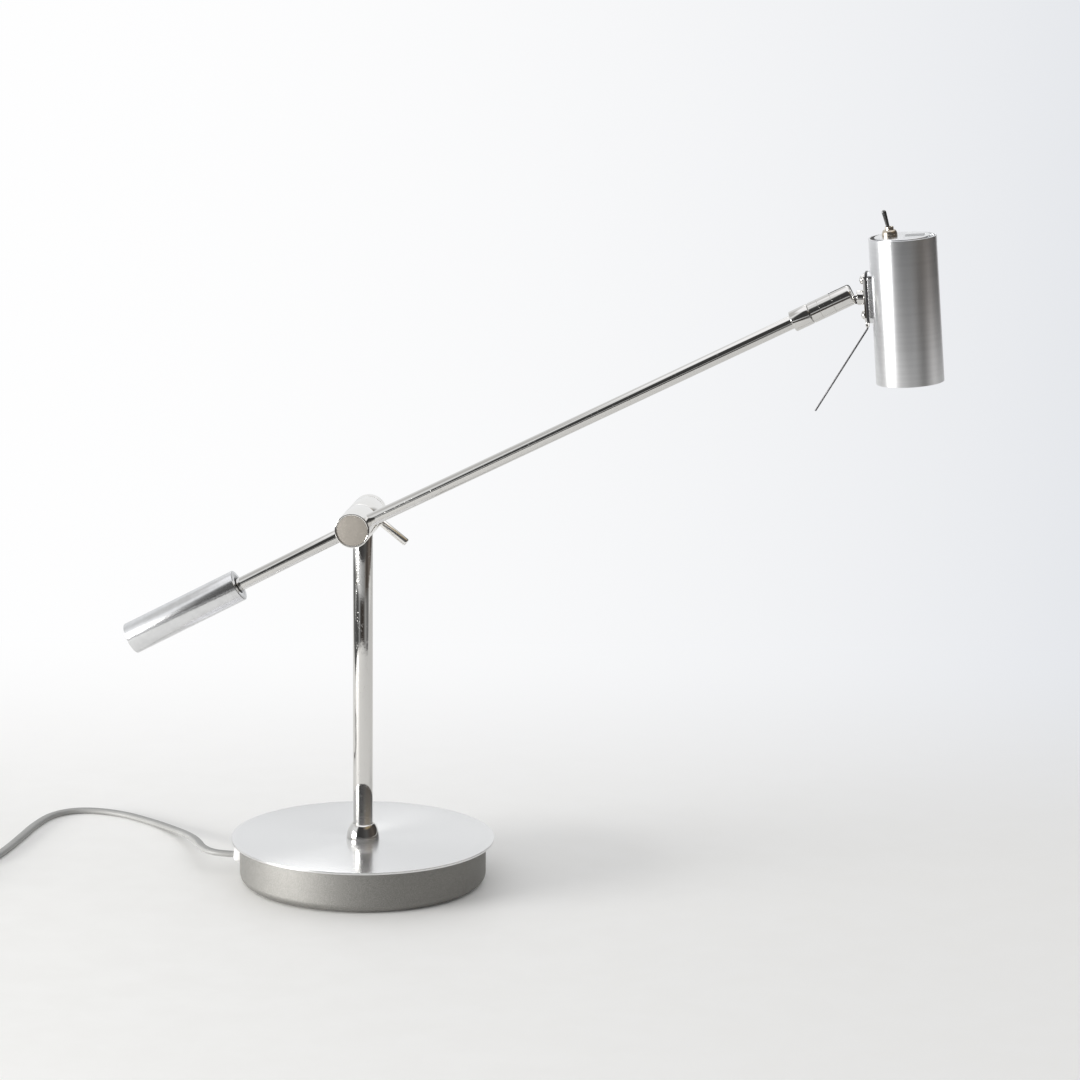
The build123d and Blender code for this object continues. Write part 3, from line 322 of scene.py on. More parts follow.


# the cord's points from the bush to the coil, in mm, the same as the frame's
CORD_STEPS = [
    (-92.0, -1.6, 12.6),
    (-102.3, 8.4, 12.8),
    (-109.2, 28.0, 10.8),
    (-119.0, 52.5, 6.8),
    (-133.0, 76.5, 3.2),
    (-154.0, 98.5, 1.7),
    (-180.0, 116.0, 1.7),
    (-206.0, 119.5, 1.7),
    (-221.0, 105.5, 1.7),
    (-226.0, 79.0, 1.7),
    (-227.5, 50.0, 1.7),
    (-229.5, 21.0, 1.7),
    (-233.0, -4.0, 1.7),
    (-240.5, -20.0, 1.7),
    (-247.0, -33.5, 1.7),
    (-247.0, -48.0, 1.7),
]
# What polished metal mirrors round the lamp. Each entry is a direction, in degrees from the camera's side
# and negative to the left, with the brightness and the tint of what lies there.
COOL, PLAIN = (0.98, 0.99, 1.0), (1.0, 0.995, 0.985)
WARM, GOLD = (1.0, 0.86, 0.76), (1.0, 0.80, 0.48)
# level with the lamp
ROOM = [
    (-180, 0.88, COOL), (-140, 0.88, COOL), (-110, 0.75, COOL), (-90, 0.92, COOL), (-60, 0.95, COOL),
    (-53, 0.95, COOL), (-46, 0.25, COOL), (-40, 0.06, COOL), (-22, 0.05, PLAIN), (0, 0.06, PLAIN),
    (30, 0.10, PLAIN), (60, 0.08, WARM), (85, 0.11, WARM), (100, 0.08, WARM), (135, 0.05, PLAIN),
    (147, 0.25, PLAIN), (156, 0.88, COOL), (180, 0.88, COOL),
]
# just below the horizon, far past the table
FAR = [
    (-180, 0.88, COOL), (-110, 0.85, COOL), (-85, 1.00, COOL), (-60, 1.00, COOL), (-48, 0.90, COOL),
    (-34, 0.78, COOL), (-20, 0.62, COOL), (-7, 0.48, COOL), (7, 0.40, COOL), (20, 0.32, PLAIN),
    (34, 0.15, WARM), (48, 0.05, WARM), (64, 0.14, WARM), (81, 0.20, WARM), (100, 0.10, WARM),
    (135, 0.06, WARM), (150, 0.60, PLAIN), (160, 0.88, COOL), (180, 0.88, COOL),
]
# higher up, below the ceiling
UPPER = [
    (-180, 0.95, COOL), (-150, 0.92, COOL), (-130, 0.64, PLAIN), (-72, 0.60, PLAIN), (-62, 1.00, COOL),
    (-53, 1.00, COOL), (-46, 0.25, COOL), (-40, 0.06, PLAIN), (0, 0.05, PLAIN), (20, 0.20, WARM),
    (40, 0.40, GOLD), (90, 0.36, GOLD), (115, 0.80, PLAIN), (140, 0.92, COOL), (180, 0.95, COOL),
]
# low down, where the table has ended
UNDER = [
    (-180, 0.88, COOL), (-150, 0.50, COOL), (-115, 0.16, COOL), (-96, 0.13, COOL), (-65, 0.07, COOL),
    (-50, 0.12, COOL), (-39, 0.36, COOL), (-28, 0.12, PLAIN), (-15, 0.05, WARM), (8, 0.06, WARM),
    (20, 0.20, PLAIN), (34, 0.38, PLAIN), (46, 0.20, PLAIN), (60, 0.17, PLAIN), (72, 0.50, PLAIN),
    (86, 0.94, PLAIN), (110, 0.60, PLAIN), (140, 0.60, COOL), (180, 0.88, COOL),
]
# how far away the table ends in such a direction, as a share of the studio's length
TABLE_ENDS = [
    (-180, 1.00, PLAIN), (-125, 0.50, PLAIN), (-96, 0.36, PLAIN), (-80, 0.41, PLAIN), (-64, 0.50, PLAIN),
    (-37, 0.57, PLAIN), (-12, 0.63, PLAIN), (12, 0.60, PLAIN), (37, 0.53, PLAIN), (64, 0.52, PLAIN),
    (80, 0.80, PLAIN), (96, 0.93, PLAIN), (180, 1.00, PLAIN),
]
UPPER_BAND = (0.50, 0.66)             # sines of the heights where ROOM passes into UPPER
CEILING_BAND = (0.74, 0.84)           # and where UPPER passes into the ceiling
CEILING = (1.22, 1.22, 1.25)
STREAK_WAY = (-0.25, 0.687, 0.682)    # towards the soft light behind that draws the disc's streak
STREAK_BAND = (0.984, 0.998)          # cosines of the angles at that light's edge
STREAK_LIGHT = (2.7, 2.7, 2.7)
FAR_BAND = (1.9, 2.8)                 # metres from the stem between which UNDER passes into FAR
TABLE_EDGE = 0.04                     # softness of the table's end, as a share of the same length
TABLE_REACH = 40.0                    # radius of the table that the camera sees, in metres
LAMP_MIDDLE = (0.05, 0.0, 0.20)       # what the window light points at, in metres
# turns that lay a piece's Z axis along X, along -X and along Y
ACROSS = Matrix.Rotation(math.radians(90), 4, "Y")
BACKWARDS = Matrix.Rotation(math.radians(-90), 4, "Y")
SIDEWAYS = Matrix.Rotation(math.radians(-90), 4, "X")
COIL_TURNS_IN = 3                     # turns in each of the coil's two layers
COIL_STEPS = 20                       # points in a full turn
# the cord's last points, from the coil's end to the plug, in mm
TAIL_STEPS = [(0.0, 12.5), (-4.2, 25.5), (-10.6, 37.0)]


# ---- shader expressions --------------------------------------------------------------------------
class Value:
    """A shader socket that adds Math nodes when it is used in an expression."""

    def __init__(self, shader, socket):
        self.shader = shader
        self.socket = socket

    def math(self, operation, *values):
        return self.shader.node("Math", {"operation": operation}, dict(enumerate(values)))

    def __add__(self, other):
        return self.math("ADD", self, other)

    def __sub__(self, other):
        return self.math("SUBTRACT", self, other)

    def __rsub__(self, other):
        return self.math("SUBTRACT", other, self)

    def __mul__(self, other):
        return self.math("MULTIPLY", self, other)

    def __truediv__(self, other):
        return self.math("DIVIDE", self, other)

    __radd__ = __add__
    __rmul__ = __mul__

    def sine(self):
        """The sine of an angle in radians."""
        return self.math("SINE", self)

    def bearing(self, ahead):
        """The turn, in radians, of what lies this far across and another value ahead."""
        return self.math("ARCTAN2", self, ahead)

    def held(self, low, high):
        """Itself, but never below low or above high."""
        return self.math("MINIMUM", self.math("MAXIMUM", self, low), high)

    def sibling(self, output):
        """Another output of the node that this value comes from."""
        return Value(self.shader, self.socket.node.outputs[output])

    def above(self, low, high):
        """0 below low, 1 above high and smooth between them."""
        return self.shader.node("MapRange", {"interpolation_type": "SMOOTHSTEP"},
                                {"Value": self, "From Min": low, "From Max": high})


class Shader:
    """Builds one node tree, a material's or the world's."""

    def __init__(self, owner):
        owner.use_nodes = True
        self.owner = owner
        self.tree = owner.node_tree
        self.tree.nodes.clear()

    def node(self, kind, settings=None, inputs=None, output=0):
        """Adds a node: first its settings, then the values or links of its sockets."""
        made = self.tree.nodes.new("ShaderNode" + kind)
        for name, value in (settings or {}).items():
            if name == "stops":
                ramp = made.color_ramp.elements
                while len(ramp) < len(value):
                    ramp.new(0.5)
                for element, (position, tint) in zip(ramp, value):
                    element.position = position
                    element.color = (*tint, 1.0)
            else:
                setattr(made, name, value)
        for name, value in (inputs or {}).items():
            if isinstance(value, Value):
                self.tree.links.new(value.socket, made.inputs[name])
            elif made.inputs[name].type == "RGBA" and len(value) == 3:
                made.inputs[name].default_value = (*value, 1.0)
            else:
                made.inputs[name].default_value = value
        return Value(self, made.outputs[output])

    def place(self, at=None, stretch=(1.0, 1.0, 1.0)):
        """Places in metres in the frame of a piece, stretched along its axes."""
        place = self.node("TexCoord", output="Object")
        if at:
            back = at.inverted()
            place = self.node("Mapping", {"vector_type": "POINT"},
                              {"Vector": place, "Location": back.translation, "Rotation": back.to_euler()})
        return self.node("VectorMath", {"operation": "MULTIPLY"}, {0: place, 1: stretch})

    def noise(self, vector, scale, detail, roughness):
        """Noise over places, finer as the scale grows."""
        return self.node("TexNoise", None, {"Vector": vector, "Scale": scale, "Detail": detail,
                                            "Roughness": roughness})

    def stripes(self, place, scale, detail):
        """Uneven stripes along one value."""
        return self.node("TexNoise", {"noise_dimensions": "1D"},
                         {"W": place * scale, "Scale": 1.0, "Detail": detail})

    def reach(self, vector):
        """The length of a vector."""
        return self.node("VectorMath", {"operation": "LENGTH"}, {0: vector}, output="Value")

    def along(self, vector, way):
        """How far a vector reaches along a direction."""
        return self.node("VectorMath", {"operation": "DOT_PRODUCT"}, {0: vector, 1: tuple(way)},
                         output="Value")

    def mix(self, factor, first, second):
        """The first colour at a factor of 0 and the second at 1."""
        return self.node("Mix", {"data_type": "RGBA"}, {0: factor, 6: first, 7: second}, output=2)

    def bump(self, height, distance, strength):
        """Normals of a relief that is as deep as the distance, in metres."""
        return self.node("Bump", None, {"Height": height, "Distance": distance, "Strength": strength})

    def surface(self, **sockets):
        """A Principled surface: underscores in the names stand for spaces."""
        inputs = {name.replace("_", " "): value for name, value in sockets.items()}
        shader = self.node("BsdfPrincipled", None, inputs, output="BSDF")
        self.end(shader)

    def end(self, shader, kind="Material"):
        """Makes a shader the tree's result."""
        output = self.tree.nodes.new("ShaderNodeOutput" + kind)
        self.tree.links.new(shader.socket, output.inputs["Surface"])


def new_shader(name):
    """The shader of a new material."""
    return Shader(bpy.data.materials.new(name))


def shade(tint, factor):
    """A colour made darker or lighter."""
    return tuple(channel * factor for channel in tint)


# ---- finishes ------------------------------------------------------------------------------------
def chrome(name, tint, wear=1.0):
    """Polished plate with the small pits, streaks and cloudy patches of an old lamp."""
    shader = new_shader(name)
    place = shader.place()
    cloud = shader.noise(place, 260.0, 3.0, 0.6)
    speckle = shader.noise(place, 700.0, 3.0, 0.65)
    pits = shader.noise(place, 1500.0, 2.0, 0.5).above(0.64, 0.72) * cloud.above(0.45, 0.62) * wear
    haze = cloud.above(0.46, 0.66) * speckle.above(0.50, 0.62) * wear
    tone = shader.mix(pits * 0.45, tint, shade(tint, 0.35))
    rough = 0.045 + haze * 0.12 + pits * 0.30
    ripple = shader.bump(cloud * 0.7 + speckle * 0.3 - pits * 0.6, 0.00003 * wear, 0.5)
    shader.surface(Base_Color=tone, Metallic=1.0, Roughness=rough, Normal=ripple)
    return shader.owner


def turned(name, tint, at, rough, spread, metallic):
    """Satin metal with fine turned lines round the Z axis of a frame."""
    shader = new_shader(name)
    lines = shader.noise(shader.place(at, (25.0, 25.0, 5200.0)), 1.0, 3.0, 0.6)
    bands = shader.noise(shader.place(at, (12.0, 12.0, 420.0)), 1.0, 2.0, 0.5)
    specks = shader.noise(shader.place(at), 900.0, 2.0, 0.5).above(0.70, 0.76)
    tone = shader.mix(bands.above(0.35, 0.7) * 0.35 + specks * 0.25, tint, shade(tint, 0.86))
    roughness = rough - 0.05 + lines * 0.10 + specks * 0.10
    relief = shader.bump(lines * 0.7 + bands * 0.3, 0.000012, 0.6)
    shader.surface(Base_Color=tone, Metallic=metallic, Roughness=roughness, Normal=relief,
                   Anisotropic=spread, Anisotropic_Rotation=0.25)
    return shader.owner


def faced(name, tint, at=None):
    """A disc turned on its face: rings about the Z axis of a frame, bright under a clear lacquer."""
    shader = new_shader(name)
    place = shader.place(at)
    flat = shader.place(at, (1.0, 1.0, 0.0))
    radius = shader.reach(flat)
    rings = shader.stripes(radius, 2600.0, 3.0)
    wide = shader.stripes(radius, 180.0, 2.0)
    dust = shader.noise(place, 1400.0, 2.0, 0.5).above(0.72, 0.77)
    tone = shader.mix(wide * 0.18 + dust * 0.2, tint, shade(tint, 0.84))
    roughness = 0.20 + rings * 0.10 + dust * 0.15
    relief = shader.bump(rings, 0.000008, 0.5)
    shader.surface(Base_Color=tone, Metallic=1.0, Roughness=roughness, Normal=relief, Anisotropic=0.75,
                   Anisotropic_Rotation=0.25, Coat_Weight=0.35, Coat_Roughness=0.03)
    return shader.owner


def sprayed(name, tint):
    """Metallic paint with a fine even texture."""
    shader = new_shader(name)
    place = shader.place()
    flakes = shader.noise(place, 2600.0, 2.0, 0.6)
    peel = shader.noise(place, 700.0, 2.0, 0.5)
    tone = shader.mix(flakes.above(0.35, 0.7), shade(tint, 0.80), shade(tint, 1.25))
    roughness = 0.56 + flakes * 0.12
    relief = shader.bump(flakes * 0.6 + peel * 0.4, 0.00006, 0.55)
    shader.surface(Base_Color=tone, Metallic=1.0, Roughness=roughness, Normal=relief)
    return shader.owner


def satin(name, tint, rough, metallic=1.0):
    """Satin plate or paint with a faint grain."""
    shader = new_shader(name)
    place = shader.place()
    grain = shader.noise(place, 1800.0, 3.0, 0.6)
    patch = shader.noise(place, 220.0, 2.0, 0.5)
    tone = shader.mix(patch.above(0.3, 0.75) * 0.5, tint, shade(tint, 0.85))
    roughness = rough + grain * 0.12 - 0.05
    relief = shader.bump(grain, 0.000015, 0.5)
    shader.surface(Base_Color=tone, Metallic=metallic, Roughness=roughness, Normal=relief)
    return shader.owner


def moulded(name, tint, rough=0.45, grain_size=1600.0, relief=0.00003):
    """Moulded plastic, rubber or ceramic with a fine grain and a little uneven colour."""
    shader = new_shader(name)
    place = shader.place()
    grain = shader.noise(place, grain_size, 3.0, 0.55)
    patch = shader.noise(place, 160.0, 2.0, 0.5)
    tone = shader.mix(patch.above(0.3, 0.75) * 0.6, tint, shade(tint, 0.88))
    shader.surface(Base_Color=tone, Roughness=rough + grain * 0.12 - 0.06,
                   Normal=shader.bump(grain, relief, 0.4))
    return shader.owner


def felted(name, tint):
    """Pressed felt: short matted fibres with a soft sheen."""
    shader = new_shader(name)
    place = shader.place()
    fibres = shader.noise(place, 1900.0, 4.0, 0.75)
    clumps = shader.noise(place, 420.0, 2.0, 0.5)
    tone = shader.mix(fibres.above(0.35, 0.7), shade(tint, 0.7), shade(tint, 1.35))
    shader.surface(Base_Color=tone, Roughness=0.95, Sheen_Weight=0.4,
                   Normal=shader.bump(fibres * 0.7 + clumps * 0.3, 0.00025, 0.8))
    return shader.owner


def wound(name, tint):
    """Amber tape wound over copper: overlapping turns round a ring about the world's Z axis."""
    shader = new_shader(name)
    place = shader.place()
    along = shader.node("SeparateXYZ", None, {0: place}, output="X")
    turns = along.sibling("Y").bearing(along) * 40.0
    laps = turns.sine()
    gloss = shader.noise(place, 300.0, 2.0, 0.5)
    tone = shader.mix(laps.above(-0.2, 0.9), shade(tint, 0.7), shade(tint, 1.15))
    shader.surface(Base_Color=tone, Roughness=0.25 + gloss * 0.15, Coat_Weight=0.5, Coat_Roughness=0.1,
                   Normal=shader.bump(laps, 0.0002, 0.7))
    return shader.owner


def clear_glass(name, tint):
    """Glass with a faint unevenness."""
    shader = new_shader(name)
    waves = shader.noise(shader.place(), 320.0, 1.0, 0.4)
    shader.surface(Base_Color=tint, Roughness=0.02 + waves * 0.02, Transmission_Weight=1.0, IOR=1.46,
                   Normal=shader.bump(waves, 0.00002, 0.3))
    return shader.owner


def faceted_mirror(name, tint):
    """The reflector's inside: small mirror facets on a pale coating."""
    shader = new_shader(name)
    cells = shader.node("TexVoronoi", {"feature": "F1"}, {"Vector": shader.place(), "Scale": 420.0},
                        output="Distance")
    tone = shader.mix(cells.above(0.2, 0.7), tint, shade(tint, 0.8))
    shader.surface(Base_Color=tone, Metallic=0.95, Roughness=0.08 + cells * 0.10,
                   Normal=shader.bump(cells, 0.0005, 0.8))
    return shader.owner


def flexible(name, tint):
    """Smooth flexible cord cover, a little dusty."""
    shader = new_shader(name)
    place = shader.place()
    dust = shader.noise(place, 800.0, 3.0, 0.6)
    patch = shader.noise(place, 60.0, 2.0, 0.5)
    tone = shader.mix(patch.above(0.3, 0.7) * 0.5 + dust * 0.2, tint, shade(tint, 0.84))
    shader.surface(Base_Color=tone, Roughness=0.38 + dust * 0.14, Normal=shader.bump(dust, 0.00003, 0.35))
    return shader.owner


# ---- meshes --------------------------------------------------------------------------------------
def bevel_edges(bm, edges, width, segments):
    """Rounds edges off."""
    bmesh.ops.bevel(bm, geom=edges, offset=width, offset_type="OFFSET", segments=segments, profile=0.5,
                    affect="EDGES", clamp_overlap=True, material=-1)


def soften(bm, width, segments=3, limit=SHARP):
    """Bevels every edge that is sharper than the limit."""
    bm.normal_update()
    edges = [edge for edge in bm.edges if edge.is_manifold and edge.calc_face_angle() > limit]
    bevel_edges(bm, edges, width, segments)


def lathe(profile, bevel=0.0, steps=144, segments=3, ring=False):
    """Spins an outline of (radius, height) points about Z; a ring's outline closes on itself."""
    bm = bmesh.new()
    verts = [bm.verts.new((radius, 0.0, height)) for radius, height in profile]
    pairs = zip(verts, verts[1:] + verts[:1]) if ring else zip(verts, verts[1:])
    edges = [bm.edges.new(pair) for pair in pairs]
    bmesh.ops.spin(bm, geom=verts + edges, cent=(0, 0, 0), axis=(0, 0, 1), angle=2 * math.pi, steps=steps,
                   use_merge=True)
    bmesh.ops.remove_doubles(bm, verts=bm.verts, dist=1e-7)
    bmesh.ops.recalc_face_normals(bm, faces=bm.faces)
    if bevel:
        soften(bm, bevel, segments)
    return bm


def oval(centre, across, up, start, end, steps):
    """Points of an oval's arc in an outline, from one angle in degrees to another."""
    turns = [math.radians(start + (end - start) * step / steps) for step in range(steps + 1)]
    return [(centre[0] + across * math.cos(turn), centre[1] + up * math.sin(turn)) for turn in turns]


def arc(centre, radius, start, end, steps):
    """Points of a round arc in an outline."""
    return oval(centre, radius, radius, start, end, steps)


def rod(radius, start, end, bevel, steps=96):
    """A round bar along Z."""
    return lathe([(0.0, start), (radius, start), (radius, end), (0.0, end)], bevel, steps)


def pipe(outer, inner, start, end, bevel, steps=96):
    """A round tube along Z."""
    return lathe([(inner, start), (outer, start), (outer, end), (inner, end)], bevel, steps, ring=True)


def block(width, depth, height, middle):
    """A plain box, its middle at a height on Z."""
    bm = bmesh.new()
    bmesh.ops.create_cube(bm, size=1.0)
    bmesh.ops.scale(bm, vec=(width, depth, height), verts=bm.verts)
    bmesh.ops.translate(bm, vec=(0, 0, middle), verts=bm.verts)
    return bm


def is_level(edge):
    """Whether an edge's ends lie at one height."""
    return abs(edge.verts[0].co.z - edge.verts[1].co.z) < 0.001 * MM


def pushed(bm, faces, way):
    """Extrudes faces along a vector, and returns the new ones."""
    raised = bmesh.ops.extrude_face_region(bm, geom=faces)["geom"]
    corners = [part for part in raised if isinstance(part, bmesh.types.BMVert)]
    bmesh.ops.translate(bm, vec=way, verts=corners)
    return [part for part in raised if isinstance(part, bmesh.types.BMFace)]


def plate(width, height, corner, start, end, bevel):
    """A rounded plate in YZ, extruded along X from start to end."""
    bm = bmesh.new()
    bmesh.ops.create_grid(bm, x_segments=1, y_segments=1, size=0.5)
    bmesh.ops.scale(bm, vec=(height, width, 1.0), verts=bm.verts)
    bmesh.ops.rotate(bm, cent=(0, 0, 0), matrix=BACKWARDS.to_3x3(), verts=bm.verts)
    if corner:
        bmesh.ops.bevel(bm, geom=bm.verts[:], offset=corner, offset_type="OFFSET", segments=8, profile=0.5,
                        affect="VERTICES", material=-1)
    bmesh.ops.translate(bm, vec=(start, 0, 0), verts=bm.verts)
    pushed(bm, bm.faces[:], (end - start, 0, 0))
    bmesh.ops.recalc_face_normals(bm, faces=bm.faces)
    soften(bm, bevel)
    return bm


def joined(*parts):
    """One mesh that holds several, which it uses up."""
    whole = bmesh.new()
    for part in parts:
        mesh = bpy.data.meshes.new("joined")
        part.to_mesh(mesh)
        part.free()
        whole.from_mesh(mesh)
        bpy.data.meshes.remove(mesh)
    return whole


def moved(bm, matrix):
    """The same mesh, put in its place."""
    bmesh.ops.transform(bm, matrix=matrix, verts=bm.verts)
    return bm


def piece(name, bm, matrix, nodes, finish, sharp=SHARP):
    """Places a mesh, rides it on its nodes' body and lets it stand for them."""
    moved(bm, matrix)
    mesh = bpy.data.meshes.new(name)
    bm.to_mesh(mesh)
    bm.free()
    mesh.polygons.foreach_set("use_smooth", [True] * len(mesh.polygons))
    mesh.set_sharp_from_angle(angle=sharp)
    made = bpy.data.objects.new(name, mesh)
    bpy.context.scene.collection.objects.link(made)
    mesh.materials.append(finish)
    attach(made, body_of[nodes[0]])
    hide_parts(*nodes)
    return made


def cut(made, *tools):
    """Cuts closed meshes out of a piece, and keeps the result as the piece's own mesh."""
    cutters = []
    for tool in tools:
        mesh = bpy.data.meshes.new("cutter")
        tool.to_mesh(mesh)
        tool.free()
        cutter = bpy.data.objects.new("cutter", mesh)
        bpy.context.scene.collection.objects.link(cutter)
        modifier = made.modifiers.new("cut", "BOOLEAN")
        modifier.object = cutter
        modifier.solver = "EXACT"
        cutters.append(cutter)
    graph = bpy.context.evaluated_depsgraph_get()
    result = bpy.data.meshes.new_from_object(made.evaluated_get(graph))
    made.modifiers.clear()
    made.data = result
    result.set_sharp_from_angle(angle=SHARP)
    for cutter in cutters:
        bpy.data.objects.remove(cutter)


def dress(node, finish):
    """Gives a frame node that keeps its own shape its finish."""
    shown = frame["nodes"][node]
    shown.data.materials.clear()
    shown.data.materials.append(finish)


# ---- places --------------------------------------------------------------------------------------
def facing(origin, way):
    """A frame at origin with Z along way and Y close to the world's Y, or upright where way is that."""
    z_axis = Vector(way).normalized()
    y_axis = Vector((0, 1, 0)) if abs(z_axis.y) < 0.9 else Vector((0, 0, 1))
    x_axis = y_axis.cross(z_axis).normalized()
    y_axis = z_axis.cross(x_axis)
    turn = Matrix((x_axis, y_axis, z_axis)).transposed().to_4x4()
    return Matrix.Translation(origin) @ turn


def pivot_frame():
    """On the pivot's axis, in the lamp's middle plane, with Z to the back."""
    place = joints["arm_pitch"]["pos_m"]
    return facing((place[0], 0.0, place[2]), (0, 1, 0))


def arm_frame():
    """At the pivot, with Z along the arm."""
    return facing(joints["arm_pitch"]["pos_m"], joints["head_roll"]["axis"])


def rod_frame():
    """At the pivot, with Z along the rear rod."""
    return facing(joints["arm_pitch"]["pos_m"], joints["weight_slide"]["axis"])


def head_frame(sizes):
    """The head's own frame: Z along the tube, X away from the arm."""
    turn = Matrix.Rotation(-sizes.lean, 4, "Y")
    offset = Matrix.Translation((sizes.pin_to_axis, 0, -sizes.pin_above))
    return Matrix.Translation(joints["head_tilt"]["pos_m"]) @ turn @ offset


# ---- operators: the base -------------------------------------------------------------------------
class LAMP_OT_base(bpy.types.Operator):
    """Builds the drum, the turned disc, the collar and what the base holds"""

    bl_idname = "lamp.base"
    bl_label = "Base"

    def execute(self, context):
        sizes = context.scene.lamp_base
        colours = context.scene.lamp_finishes
        paint = sprayed("drum_paint", colours.drum)
        piece("painted_drum", self.drum(sizes), Matrix(), ["drum_shell"], paint)
        top = sizes.drum_top + sizes.disc_t
        disc = pipe(sizes.disc_r, sizes.stem_r, sizes.drum_top, top, bevel=0.25 * MM, steps=256)
        piece("turned_disc", disc, Matrix(), ["base_disc"], faced("turned_disc", colours.disc))
        plated = chrome("collar_chrome", colours.chrome, wear=0.6)
        piece("domed_collar", self.collar(sizes, top), Matrix(), ["stem_collar"], plated)
        dress("base_felt", felted("felt", (0.05, 0.05, 0.055)))
        dress("ballast_ring", moulded("cast_iron", (0.05, 0.05, 0.052), rough=0.7, grain_size=900.0,
                                      relief=0.0002))
        dress("transformer", wound("taped_winding", (0.55, 0.34, 0.05)))
        zinc = satin("zinc_plate", colours.zinc, rough=0.3)
        for node in ("transformer_clamp", "transformer_nut", "base_nut", "base_nipple", "stem_clip"):
            dress(node, zinc)
        return {"FINISHED"}

    def drum(self, sizes):
        """A sheet drum with a rounded bottom edge, a recess underneath and no lid."""
        wall, corner, low = sizes.drum_wall, sizes.drum_corner, sizes.drum_low
        roof, roof_r = low + sizes.recess_depth, sizes.recess_r * 0.8
        centre = (sizes.drum_r - corner, low + corner)
        outline = [(0.0, roof), (roof_r, roof), (sizes.recess_r, low)]
        outline += arc(centre, corner, -90, 0, 12)
        outline += [(sizes.drum_r, sizes.drum_top), (sizes.drum_r - wall, sizes.drum_top)]
        outline += arc(centre, corner - wall, 0, -90, 12)
        outline += [(sizes.recess_r + wall, low + wall), (roof_r, roof + wall), (0.0, roof + wall)]
        return lathe(outline, steps=192)

    def collar(self, sizes, foot):
        """A ring that stands on a straight lip and domes in towards the stem."""
        lip, high = foot + sizes.collar_lip, foot + sizes.collar_h
        # the dome's points, from the lip to the top
        flank = [
            (sizes.collar_r - 0.35 * MM, lip + 1.7 * MM),
            (sizes.collar_top_r + 1.9 * MM, (lip + high) / 2 + 0.6 * MM),
            (sizes.collar_top_r + 0.75 * MM, high - 1.0 * MM),
        ]
        outline = [(sizes.stem_r, foot), (sizes.collar_r, foot), (sizes.collar_r, lip), *flank,
                   (sizes.collar_top_r, high), (sizes.stem_r, high)]
        return lathe(outline, bevel=0.35 * MM, segments=4, ring=True)


class LAMP_OT_stem(bpy.types.Operator):
    """Builds the stem tube and dresses what it holds"""

    bl_idname = "lamp.stem"
    bl_label = "Stem"

    def execute(self, context):
        sizes = context.scene.lamp_base
        colours = context.scene.lamp_finishes
        low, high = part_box("stem_tube")
        plated = chrome("stem_chrome", colours.chrome)
        tube = pipe(sizes.stem_r, sizes.stem_r - sizes.stem_wall, low.z, high.z, bevel=0.15 * MM)
        piece("stem_skin", tube, Matrix(), ["stem_tube"], plated)
        dress("stem_bush", moulded("nylon", (0.62, 0.60, 0.53)))
        dress("stem_plug", satin("plug_steel", (0.5, 0.5, 0.5), rough=0.35))
        dress("stem_lead", moulded("stem_wire", colours.wire, rough=0.35))
        return {"FINISHED"}


